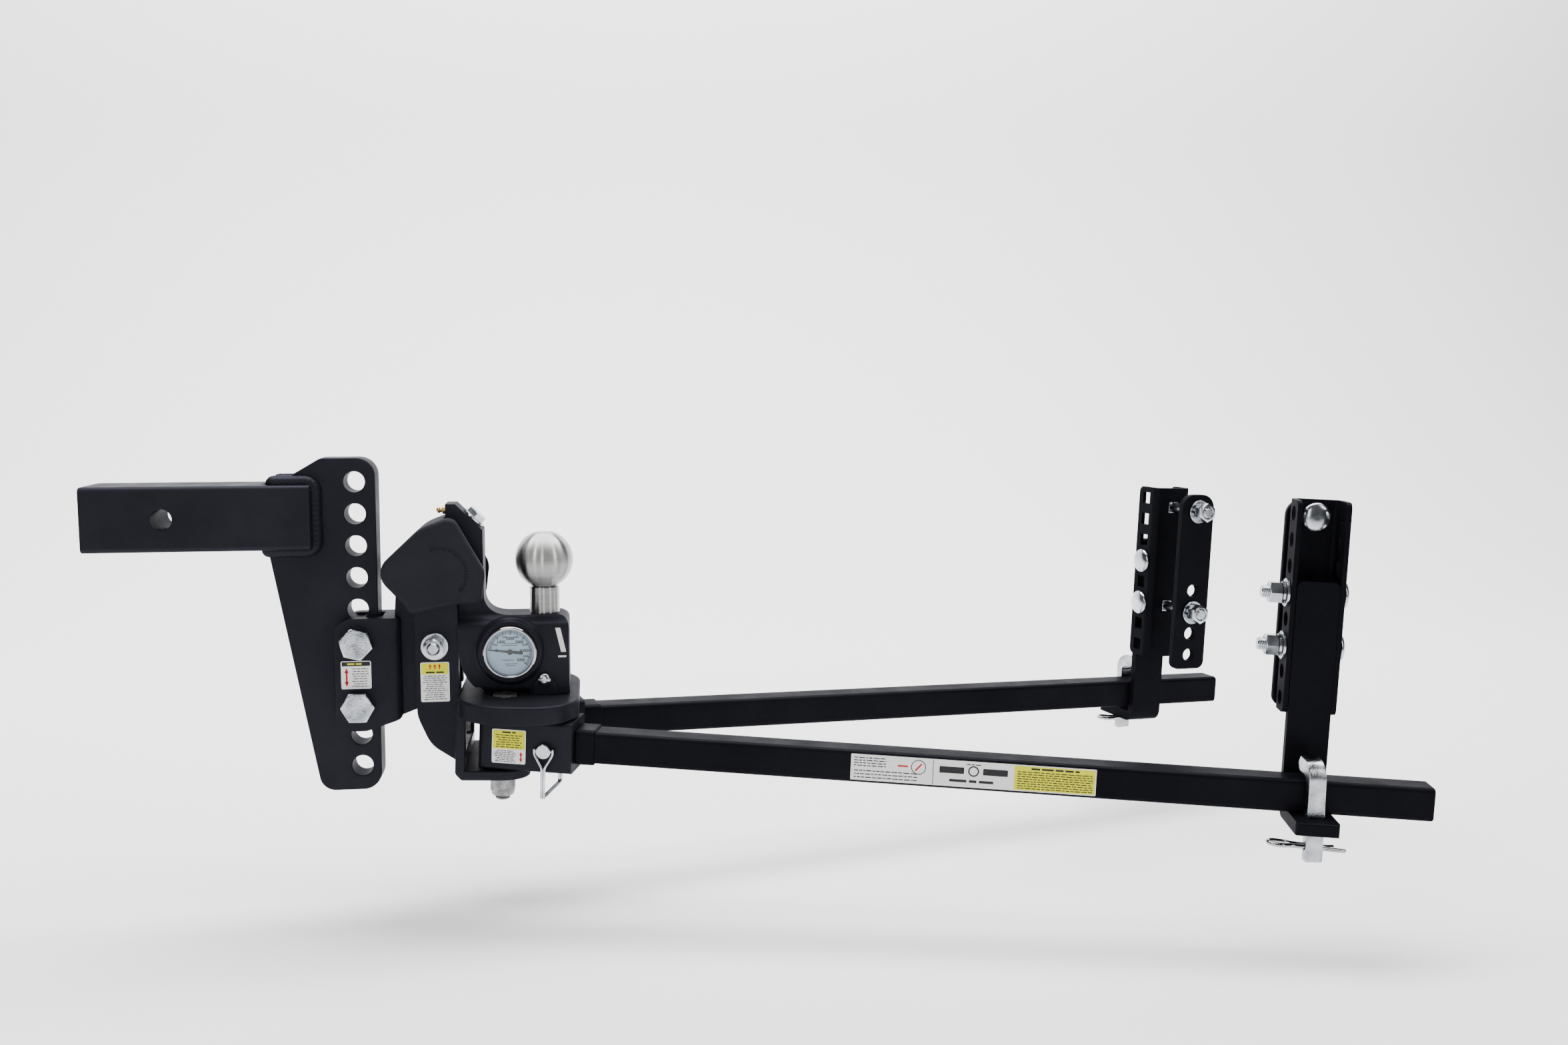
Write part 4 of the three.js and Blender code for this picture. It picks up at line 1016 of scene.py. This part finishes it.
def build_lock_screw():
    rim, rim_height, dome = 6.5, 0.9, 3.2
    profile = [(0, 0), (rim, 0), (rim, rim_height)]
    for degrees in range(8, 66, 8):
        angle = math.radians(degrees)
        profile.append((rim * math.cos(angle), rim_height + dome * math.sin(angle)))
    profile += [(2.7, 3.95), (0, 3.95)]
    head = lathe(profile, 48)
    key = cylinder("Z", 0, 0, 2.5, 1.4, 5, count=6)
    body = moved(turned_to(cut(head, key), "Y", *FILL_SCREW, flip=True), 0, -35.2, 0)
    fastener(body, "fill_screw", "head", "lock_screw")


def dial_point(angle, radius):
    """A place on the dial, angle in degrees from the level, anticlockwise seen from the front."""
    return GAUGE_X + radius * math.cos(math.radians(angle)), GAUGE_Z + radius * math.sin(math.radians(angle))


def build_gauge():
    face = BOSS_FACE + 1.5
    front = BOSS_FACE - 4
    bezel = [
        (22.9, 1.2), (23.4, 0.2), (24.4, 0), (25.4, 0.2), (26.1, 0.9), (26.3, 1.8), (26.3, 20), (23, 20),
    ]
    ring = moved(turned_to(ring_lathe(bezel, 128), "Y", GAUGE_X, GAUGE_Z), 0, front, 0)
    back = cylinder("Y", GAUGE_X, GAUGE_Z, 23.2, front + 17.4, front + 20)
    piece(gathered(ring, back), "gauge_bezel", "head", CHROME, nodes=["gauge_case"], sharp=30)
    dial = cylinder("Y", GAUGE_X, GAUGE_Z, 22.9, face, face + 2, edge=0.2, count=96)
    piece(dial, "gauge_plate", "head", DIAL, nodes=["gauge_dial"])
    marks = []
    for k in range(51):
        angle = GAUGE_START - GAUGE_SWEEP * k / 50
        major, half_step = k % 10 == 0, k % 5 == 0
        inner_r = 17.2 if major else 17.8 if half_step else 18.6
        width = 0.5 if major else 0.42 if half_step else 0.34
        ray = Vector((math.cos(math.radians(angle)), math.sin(math.radians(angle))))
        side = Vector((-ray.y, ray.x)) * width
        start, end = ray * inner_r, ray * 21.6
        corners = [start - side, end - side, end + side, start + side]
        marks.append(prism([(GAUGE_X + c.x, GAUGE_Z + c.y) for c in corners], face - 0.12, face + 0.1, "Y"))
    for x0, x1, z in ((-6, 6, 8.4), (-8, 8, 6.6), (-8, 3, -8.2), (-5, 7, -12), (-4, 5, -13.8)):
        marks.append(prism(rect(GAUGE_X + x0, GAUGE_X + x1, GAUGE_Z + z - 0.28, GAUGE_Z + z + 0.28),
                           face - 0.12, face + 0.1, "Y"))
    piece(gathered(*marks), "gauge_ticks", "head", INK)
    for k in range(11):
        angle = GAUGE_START - GAUGE_SWEEP * k / 10
        text = bpy.data.curves.new(f"gauge_number_{k}", "FONT")
        text.body = str(500 * k)
        text.size = 4.1 if k % 2 == 0 else 2.6
        text.align_x = "CENTER"
        text.align_y = "CENTER"
        text.offset = 0.14 if k % 2 == 0 else 0.09
        text.extrude = 0.05
        holder = bpy.data.objects.new(f"gauge_number_{k}", text)
        bpy.context.scene.collection.objects.link(holder)
        graph = bpy.context.evaluated_depsgraph_get()
        mesh = bpy.data.meshes.new_from_object(holder.evaluated_get(graph))
        bpy.data.objects.remove(holder)
        digits = bpy.data.objects.new(f"gauge_number_{k}", mesh)
        bpy.context.scene.collection.objects.link(digits)
        x, z = dial_point(angle, 13.4 if k % 2 == 0 else 15.9)
        matrix = facing(x, face - 0.08, z, (1, 0, 0), (0, 0, 1))
        piece(digits, f"gauge_number_{k}", "head", INK, matrix)
    zero = math.radians(180 - GAUGE_START)
    outline = [(-19, -0.4), (2, -1.2, 0.4), (12.5, -1.6, 0.6), (12.5, 1.6, 0.6), (2, 1.2, 0.4), (-19, 0.4)]
    blade = prism(outline, face - 1.1, face - 0.5, "Y")
    hub = cylinder("Y", 0, 0, 2.7, face - 1.7, face - 0.5, edge=0.3)
    pin = cylinder("Y", 0, 0, 1, face - 1, face + 3)
    pointer = gathered(blade, hub, pin)
    place = Matrix.Translation((GAUGE_X, 0, GAUGE_Z)) @ Matrix.Rotation(zero, 4, "Y")
    piece(pointer, "gauge_pointer", "pointer", INK, place, ["gauge_needle"])
    glass = cylinder("Y", GAUGE_X, GAUGE_Z, 22.9, front + 1.2, front + 2.3, edge=0.2, count=96)
    piece(glass, "gauge_glass", "head", LENS, nodes=["gauge_lens"])


# ---------- yoke, king bolts, sockets and arms ----------
def build_yoke():
    left, back, under, over, low, low_top = -45.5, 9.5, 26, 45, -36, -26.4
    lean = math.degrees(math.acos((7.8 - left) / 55.5))
    rim = arc(7.8, -36, 55.5, 180 + lean, 270, 14) + arc(23.8, -41.5, 50, -90, 0, 20)
    rim += arc(23.8, 41.5, 50, 0, 90, 20) + arc(7.8, 36, 55.5, 90, 180 - lean, 14)
    plate = prism(through(rim), under, over, edge=2.6, steps=4)
    floor = prism([(left, -61, 3), (27, -61, 27), (27, 61, 27), (left, 61, 3)], low, low_top, edge=1.5)
    wall_outline = [(left, low, 8), (left + back, low), (left + back, over, 3), (left, over, 5)]
    wall = prism(wall_outline, -61, 61, "Y", edge=2.4)
    window_outline = [(left - 1, -37), (left + back + 1, -50), (left + back + 1, 50), (left - 1, 37)]
    opening = prism(window_outline, -14, under)
    chamfer = prism([(left - 1, low - 1), (left + 8, low - 1), (left - 1, low + 8)], -70, 70, "Y")
    tools = [opening, chamfer]
    for y in (-34.2, 34.2):
        tools.append(cylinder("Z", 0, y, KING_DIA / 2 + GAP, low - 1, over + 1))
        tools.append(cylinder("Z", 0, y, KING_FLATS / math.sqrt(3) + 1.3, over - 11, over + 1, count=64))
    body = cut(join(plate, wall, floor), *tools)
    matrix = yoke_frame()
    coated(body, 2.2, "yoke", "head", "socket_yoke", matrix)
    seam = [(left + back + 0.6, y, under - 0.8) for y in (-53, 53)]
    piece(weld(seam, 3.2), "weld_yoke_top", "head", COAT, matrix, sharp=60)
    low_band = box(left + back - 0.2, left + back + 0.12, -56, 56, low_top + 0.4, -15.6)
    sill = prism([(left + 2.4, -41), (left + back - 1.6, -47), (left + back - 1.6, 47), (left + 2.4, 41)],
                 -14.2, -13.88)
    jambs = []
    for side in (-1, 1):
        start = Vector((left + 2.2, side * 39.9))
        end = Vector((left + back - 1.4, side * 48))
        jambs.append(prism(strip(start, end, 0.14), -12.5, under - 1))
    raw = gathered(low_band, sill, *jambs)
    piece(raw, "yoke_ground_faces", "head", RAW, matrix)


def build_king(side, y):
    matrix = yoke_frame() @ Matrix.Translation((0, y, 0))
    seat = 45 - 11 + GAP
    head = hexagon(KING_FLATS, seat, seat + 11.3, chamfer_hi=True)
    shank = lathe([(0, -50), (KING_DIA / 2, -50), (KING_DIA / 2, seat + 1), (0, seat + 1)], 40)
    end = threaded(KING_DIA / 2, -61, -49.5, KING_PITCH, down=True)
    bolt = gathered(head, shank, end)
    piece(bolt, f"{side}_pivot_bolt", "head", GALVANISED, matrix, [f"{side}_king_bolt"], 30)
    top = -36 - GAP
    nut = hexagon(KING_FLATS, top - 14.6, top, chamfer_hi=True)
    bore = KING_DIA / 2 + 0.4
    collar = [(bore, top - 14), (11.4, top - 14)]
    steps = 8
    for k in range(steps + 1):
        angle = math.pi / 2 * k / steps
        collar.append((9.4 + 2.0 * math.cos(angle), top - 17.5 - 2.9 * math.sin(angle)))
    collar.append((bore, top - 20.4))
    body = gathered(nut, ring_lathe(collar, 56))
    piece(body, f"{side}_lock_nut", "head", GALVANISED, matrix, [f"{side}_king_nut"], 30)


def build_socket(side):
    half, left, right = SOCKET_HALF, -19.5, 75.5
    tube_solid = prism(rect(-half, half, -half, half, 4), left, right, "X")
    plan = prism([(left, -half, 7), (right, -half), (right, half), (left, half, 7)], -half - 1, half + 1)
    king = cylinder("Z", 0, 0, KING_DIA / 2 + GAP, -half - 1, half + 1)
    hole = box(18, right + 1, -16.6, 16.6, -16.6, 16.6)
    pin = cylinder("Y", *ARM_PIN, 6.7, -half - 1, half + 1)
    body = cut(common(tube_solid, plan), king, hole, pin)
    coated(body, 1.2, f"{side}_arm_socket", f"{side}_arm", f"{side}_socket", arm_frame(side))


def build_arm(side):
    half = ARM_HALF
    bar = prism(rect(-half, half, -half, half, 4.5), 19, 891.6, "X", edge=1.5)
    ring = half + 1.7
    collar = prism(rect(-ring, ring, -ring, ring, 5), 76.2, 96, "X", edge=1.6)
    pin = cylinder("Y", *ARM_PIN, 6.7, -30, 30)
    body = cut(join(bar, collar), pin)
    matrix = arm_frame(side)
    piece(body, f"{side}_bar", f"{side}_arm", BLACK, matrix, [f"{side}_spring_arm"])


def build_pin(side):
    sign = -1 if side == "near" else 1
    matrix = arm_frame(side) @ Matrix.Scale(-sign, 4, (0, 1, 0))
    face = -SOCKET_HALF - GAP
    profile = [(0, face - 5.6), (6.4, face - 5.6), (7.2, face - 5.1), (7.5, face - 4.4), (7.5, face - 0.6),
               (7.0, face), (6.35, face), (6.35, 27.5), (4.6, 29.5), (0, 29.5)]
    pin = turned_to(lathe(profile, 56), "Y", *ARM_PIN)
    fastener(pin, f"{side}_cross_pin", f"{side}_arm", f"{side}_arm_pin", matrix)
    wire, drop, reach, neck, y = 2.6, -49.5, 32.4, -16, -29.2
    wide = 7.5 + GAP + wire / 2
    x = ARM_PIN[0]
    strands = []
    for turn in (-1, 1):
        offset = turn * wire * 0.46
        route = [
            (x + turn * wide, y, -1.0), (x + turn * wide, y, -6), (x + offset, y, neck - 3.5),
            (x + offset, y, drop + 0.8), (x + 0.4 + offset, y + 1.6, drop), (x + 1.5 + offset, reach, drop),
            (x + 1.5 + offset, reach, 0.6),
        ]
        strands.append(tube(bent(route, 3.2), wire / 2, 14))
    ends = [tube([(x + turn * 6.9, y, -2.5), (x + turn * wide, y, -2.5)], 1.1, 12) for turn in (-1, 1)]
    bail = gathered(*strands, *ends)
    piece(bail, f"{side}_bail_wire", f"{side}_bail", ZINC, matrix, [f"{side}_pin_bail"])


# ---------- frame brackets ----------
def row_height(setting, row):
    return setting["top"] - 13.2 - INCH * row


def build_channel(side, setting):
    half, wall, back = CHANNEL_HALF, CHANNEL_WALL, CHANNEL_BACK
    front, height, square = 18, 204, 6.7
    top = setting["top"]
    outer = prism([(-half, front), (half, front), (half, back, 9), (-half, back, 9)], top - height, top)
    inner = prism([(-half + wall, front - 1), (half - wall, front - 1), (half - wall, back - wall, 4.5),
                   (-half + wall, back - wall, 4.5)], top - height - 1, top + 1)
    flange = prism([(front, top - height, 7), (back + 1, top - height), (back + 1, top), (front, top, 7)],
                   -half - 1, half + 1, "X")
    tools = []
    for row in range(8):
        z = row_height(setting, row)
        tools.append(cylinder("X", SIDE_BOLT_DEPTH, z, 7.3, -half - 1, -half + wall + 1))
        near, far = SIDE_BOLT_DEPTH - square, SIDE_BOLT_DEPTH + square
        tools.append(box(half - wall - 1, half + 1, near, far, z - square, z + square))
    upper = top - setting["frame_bolt"]
    for z in (upper, upper - FRAME_BOLT_PITCH):
        tools.append(box(-6.4, 6.4, back - wall - 1, back + 1, z - 6.4, z + 6.4))
    body = cut(common(cut(outer, inner), flange), *tools)
    matrix = bracket_frame(side)
    coated(body, 0.9, f"{side}_bracket_channel", f"{side}_bracket", f"{side}_channel", matrix, BLACK)


def build_hanger(side, setting):
    half, front, thick, cheek, cheek_back, foot, reach = 19.8, 17, 8.2, 5.2, 44.8, 12.3, -46
    under = -ARM_HALF - GAP - setting["drop"]
    top = 198.5 - setting["drop"]
    back = front + thick
    angle = [(reach, under - foot, 2), (back, under - foot, 14), (back, top), (front, top), (front, under, 3),
             (reach, under, 2)]
    face = [(-half, under - foot - 1), (half, under - foot - 1), (half, top, 6), (-half, top, 6)]
    plan = [(-half, reach, 5), (half, reach, 5), (half, back + 1), (-half, back + 1)]
    blank = common(prism(angle, -half, half, "X"), prism(face, reach - 1, back + 1, "Y"))
    bar = common(blank, prism(plan, under - foot - 1, top + 1))
    upper, lower = row_height(setting, 3), row_height(setting, 5)
    lug = box(-half, half, back - 1, cheek_back, lower - 22, upper + 12)
    room = box(-half + cheek, half - cheek, back, cheek_back + 1, lower - 30, upper + 30)
    slot = box(-9, 9, -5.5, 5.5, -80, 0)
    slot.data.transform(keeper_place(side))
    bores = [cylinder("X", SIDE_BOLT_DEPTH, z, 6.7, -half - 1, half + 1) for z in (upper, lower)]
    body = cut(join(bar, cut(lug, room)), slot, *bores)
    matrix = bracket_frame(side)
    coated(body, 1.1, f"{side}_hanger_bar", f"{side}_bracket", f"{side}_hanger", matrix, BLACK)


def keeper_place(side):
    """A keeper within its bracket: turned a little about its leg, and hanging plumb."""
    turn = Matrix.Rotation(math.radians(8), 4, "Z")
    lean = Matrix.Rotation(math.radians(-1.2 if side == "near" else 1.2), 4, "Y")
    return Matrix.Translation((0.9, -23.2, 0)) @ turn @ lean


def build_keeper(side, setting):
    half, lift = 4.7, setting["lift"]
    hook = [
        (-half, -58.5, 2), (half, -58.5, 2), (half, 20.3, 5), (21.5, 22.8, 4), (24.3, 30, 4), (20.3, 36.6, 1),
        (-half, 34.8, 17),
    ]
    body = prism(hook, -8.2, 8.2, "X", edge=1.1)
    hole = cylinder("X", 0, -45.5, 2.6, -20, 20)
    matrix = bracket_frame(side) @ keeper_place(side)
    name = f"{side}_keeper_bar"
    lifted = matrix @ Matrix.Translation((0, 0, lift))
    piece(cut(body, hole), name, f"{side}_bracket", SPECKLED, lifted, [f"{side}_keeper"], 40)
    mirror = 1 if side == "near" else -1
    route = [
        (30, 0), (0, 0), (-20, 0), (-30, -2.5), (-38, -1), (-41, 4.5), (-36, 10.5), (-26, 11), (-16, 7.6),
        (-8, 7), (0, 7.4), (8, 7), (16, 7.8), (23, 10.5),
    ]
    z = -45.5 + lift
    points = [(mirror * x, y, z - 0.1 * x) for x, y in route]
    wire = tube(catmull(points, 8), 2.05, 16)
    name = f"{side}_spring_clip"
    piece(wire, name, f"{side}_bracket", CHROME, matrix, [f"{side}_clip"], 60)


def build_strap(side, setting):
    upper = setting["top"] - setting["frame_bolt"]
    top = upper + setting["above"]
    front = setting["strap"]
    face = [(-22, top - 206, 9), (22, top - 206, 9), (22, top, 16), (-22, top, 16)]
    pitch = FRAME_BOLT_PITCH
    holes = [(0, upper - down, 7.3) for down in (0, pitch - INCH, pitch, pitch + INCH, pitch + 2 * INCH)]
    plate = prism(face, front, front + 8, "Y", holes, edge=1.0)
    matrix = bracket_frame(side)
    name = f"{side}_strap"
    piece(plate, name, f"{side}_bracket", BLACK, matrix, [f"{side}_backing_strap"])


def build_bracket_bolts(side, setting):
    matrix = bracket_frame(side)
    body = f"{side}_bracket"
    face = CHANNEL_HALF + GAP
    sideways = Matrix.Rotation(-math.pi / 2, 4, "Y")
    rows = {"upper": row_height(setting, 3), "lower": row_height(setting, 5)}
    for name, z in rows.items():
        place = matrix @ Matrix.Translation((face, SIDE_BOLT_DEPTH, z)) @ sideways
        bolt = dome_head(3.9, face + 50, 40)
        fastener(bolt, f"{body}_bolt_{name}", body, f"{side}_side_bolt_{name}", place)
        place = matrix @ Matrix.Translation((-face, SIDE_BOLT_DEPTH, z)) @ sideways
        stack = gathered(*nut_stack(0))
        fastener(stack, f"{body}_nut_{name}", body, f"{side}_side_nut_{name}", place)
    upper = setting["top"] - setting["frame_bolt"]
    seat = CHANNEL_BACK - CHANNEL_WALL - GAP
    for name, z in (("upper", upper), ("lower", upper - FRAME_BOLT_PITCH)):
        place = matrix @ Matrix.Translation((0, seat, z)) @ Matrix.Rotation(-math.pi / 2, 4, "X")
        bolt = dome_head(5.4, FRAME_BOLT_END - seat, 34 if side == "far" else 14)
        stack = gathered(bolt, *nut_stack(setting["strap"] + 8 + GAP - seat))
        fastener(stack, f"{body}_long_bolt_{name}", body, f"{side}_frame_bolt_{name}", place)


# ---------- stickers ----------
def sticker_clevis():
    """White square with a dark band, a red double arrow and small print."""
    ink = [panel(-13.6, 13.6, 9, 13.2, ON_PAPER)] + print_block(-4.5, 12.5, 7.4, -12.6, 8, 0.75)
    red = double_arrow(-9.2, -11.6, 7, 2.2)
    yellow = words(-9, 9, 11.1, 1.5, ON_FIELD, 3)
    layers = [(WHITE, [paper(-14.5, 14.5, -14, 14)]), (INK, ink), (YELLOW, yellow), (RED, red)]
    stick(layers, "sticker_clevis", "root", facing(HOLE_X - 1.5, -CLEVIS_OUTER, -157, (1, 0, 0), (0, 0, 1)))


def sticker_side():
    """Upright label: yellow head with three red arrows, small print on white."""
    ink = words(-11, 11, 9.8, 1.6, ON_FIELD, 5) + print_block(-12, 12, 7.2, -18.4, 12, 0.75)
    lo, hi = ON_FIELD, ON_FIELD + PRINT
    red = []
    for x in (-4.6, 0, 4.6):
        red.append(prism([(x - 1.5, 15.6), (x + 1.5, 15.6), (x, 18.2)], lo, hi))
        red.append(box(x - 0.5, x + 0.5, 12.8, 15.8, lo, hi))
    yellow = [panel(-13.2, 13.2, 7.8, 19.2, ON_PAPER, 1)]
    layers = [(WHITE, [paper(-14, 14, -20, 20)]), (YELLOW, yellow), (INK, ink), (RED, red)]
    stick(layers, "sticker_side", "head", facing(327.5, -SIDE_OUTER, -166, (1, 0, 0), (0, 0, 1)))


def sticker_socket():
    """Label whose upper half is yellow, with small print on both halves and a red double arrow."""
    ink = words(-9, 9, 14.2, 1.5, ON_FIELD, 6) + print_block(-15, 15, 12.4, -1.6, 6, 0.9, ON_FIELD)
    ink += print_block(-15, 8, -3.6, -16, 7, 0.75)
    red = double_arrow(12.4, -15.4, -4.4, 1.7)
    yellow = [panel(-16.2, 16.2, -2.4, 16.2, ON_PAPER, 1)]
    layers = [(WHITE, [paper(-17, 17, -17, 17)]), (YELLOW, yellow), (INK, ink), (RED, red)]
    near = arm_frame("near")
    place = near @ Vector((12.5, -SOCKET_HALF, -1))
    stick(layers, "sticker_socket", "near_arm", facing(*place, near.col[0].xyz, near.col[2].xyz))


def sticker_arm():
    """Long label on the near arm: two white fields with small print and plain blocks, and a yellow field."""
    half = 12.8
    x0, x1, split, yellow = ARM_LABEL
    middle = (split + yellow) / 2
    white = [paper(x0, x1, -half, half, 0.8)]
    ink = [panel(split - 0.3, split + 0.3, -half + 1, half - 1, ON_PAPER, 0)]
    ink += print_block(x0 + 3, x0 + 34, half - 2, 0.5, 4, 0.95, centred=False)
    ink += print_block(x0 + 3, split - 14, -1.5, -half + 1.5, 3, 0.95, centred=False)
    ink += [panel(split + 6, middle - 9, 0, 6.4, ON_PAPER), panel(middle + 9, yellow - 6, 0, 6.4, ON_PAPER)]
    ink += words(split + 14, yellow - 14, -6.8, 2.6, ON_PAPER, 8)
    ink += words(middle - 8, middle + 8, 9.6, 1, ON_PAPER, 9)
    ink += words(yellow + 12, x1 - 12, half - 3.4, 1.8, ON_FIELD, 11)
    ink += print_block(yellow + 3, x1 - 3, half - 5.6, -half + 1.8, 8, 0.95, ON_FIELD, centred=False)
    for inner, outer, x, y in ((3.9, 5.2, middle, 3.2), (6.4, 7.2, split - 14, 3.6)):
        section = [(inner, ON_PAPER), (outer, ON_PAPER), (outer, ON_FIELD), (inner, ON_FIELD)]
        ink.append(moved(ring_lathe(section, 40), x, y, 0))
    hand = strip(Vector((split - 17, 0)), Vector((split - 11, 7)), 0.8)
    red = [box(split - 34, split - 24, 3, 4.6, ON_PAPER, ON_FIELD), prism(hand, ON_PAPER, ON_FIELD)]
    field = [panel(yellow, x1 - 1, -half + 1, half - 1, ON_PAPER)]
    layers = [(WHITE, white), (YELLOW, field), (INK, ink), (RED, red)]
    near = arm_frame("near")
    place = near @ Vector((0, -ARM_HALF, 0))
    stick(layers, "sticker_arm", "near_arm", facing(*place, near.col[0].xyz, near.col[2].xyz))


# ---------- studio ----------
def build_studio():
    floor_z, depth, rise, half_width = -0.40, 2.4, 2.6, 5.0
    bm = bmesh.new()
    profile = [(-3.0, floor_z), (depth - 1.2, floor_z)]
    profile += [(depth - 1.2 + 1.2 * math.sin(a), floor_z + 1.2 * (1 - math.cos(a)))
                for a in (math.pi / 2 * k / 16 for k in range(1, 17))]
    profile += [(depth, floor_z + rise)]
    rows = [[bm.verts.new((x, y, z)) for x in (-half_width, half_width + 0.6)] for y, z in profile]
    for lower, upper in zip(rows, rows[1:]):
        bm.faces.new((lower[0], lower[1], upper[1], upper[0]))
    floor = to_object(bm, "studio_floor")
    floor.data.polygons.foreach_set("use_smooth", [True] * len(floor.data.polygons))
    sheet = Finish("studio_paper", {"Base Color": (0.86, 0.86, 0.86, 1), "Roughness": 0.9})
    floor.data.materials.append(sheet.material)
    world = bpy.data.worlds.new("studio")
    world.use_nodes = True
    world.node_tree.nodes["Background"].inputs["Color"].default_value = (1, 1, 1, 1)
    world.node_tree.nodes["Background"].inputs["Strength"].default_value = 0.09
    bpy.context.scene.world = world
    for name, place, aim, size, power in (
        ("backdrop", (0.6, 1.0, 2.9), (0.6, 1.9, -0.4), (5.5, 1.6), 450),
        ("overhead", (0.6, -0.5, 2.6), (0.6, 0.0, -0.4), (3.0, 0.9), 60),
        ("key", (-0.9, -1.7, 1.1), (0.35, 0, -0.1), (0.3, 1.2), 12),
        ("side", (1.9, -1.3, 0.7), (0.7, 0, -0.1), (0.25, 1.2), 8),
        ("strip", (0.25, -2.1, 0.5), (0.4, 0, -0.05), (0.16, 1.2), 6),
    ):
        light = bpy.data.lights.new(name, "AREA")
        light.shape = "RECTANGLE"
        light.size, light.size_y = size
        light.energy = power
        lamp = bpy.data.objects.new(name, light)
        lamp.location = place
        lamp.rotation_euler = (Vector(aim) - Vector(place)).to_track_quat("-Z", "Y").to_euler()
        bpy.context.scene.collection.objects.link(lamp)


def build_camera():
    """A camera at the recorded viewing angle: a little left of the head, looking slightly down."""
    yaw, pitch, focal_px, image_width = math.radians(7.56), math.radians(6.13), 2151.3, 2352
    data = bpy.data.cameras.new("camera")
    data.sensor_width = 36
    data.lens = 36 * focal_px / image_width
    camera = bpy.data.objects.new("camera", data)
    camera.location = (0.4872, -1.4642, 0.1444)
    forward = Vector((math.sin(yaw) * math.cos(pitch), math.cos(yaw) * math.cos(pitch), -math.sin(pitch)))
    camera.rotation_euler = forward.to_track_quat("-Z", "Y").to_euler()
    bpy.context.scene.collection.objects.link(camera)
    bpy.context.scene.camera = camera


def finish_hidden_nodes():
    """Inner pieces keep their own solids and get a finish."""
    inner = {
        "pivot_bushing": BRASS, "thrust_block": BRASS, "trunnion_nut": STEEL, "load_piston": STEEL,
        "cylinder_cap": STEEL,
    }
    for name, material in inner.items():
        node = frame["nodes"][name]
        node.data.materials.clear()
        node.data.materials.append(material)


build_camera()
build_studio()
build_shank()
build_plate()
build_clevis()
build_height_bolts()
build_head_frame()
build_clamp()
build_tilt_screw()
build_cover()
build_housing()
build_ball()
build_lock_screw()
build_gauge()
build_yoke()
for arm_side, arm_y, arm_setting in (("near", -34.2, NEAR), ("far", 34.2, FAR)):
    build_king(arm_side, arm_y)
    build_socket(arm_side)
    build_arm(arm_side)
    build_pin(arm_side)
    build_channel(arm_side, arm_setting)
    build_hanger(arm_side, arm_setting)
    build_keeper(arm_side, arm_setting)
    build_strap(arm_side, arm_setting)
    build_bracket_bolts(arm_side, arm_setting)
sticker_clevis()
sticker_side()
sticker_socket()
sticker_arm()
finish_hidden_nodes()
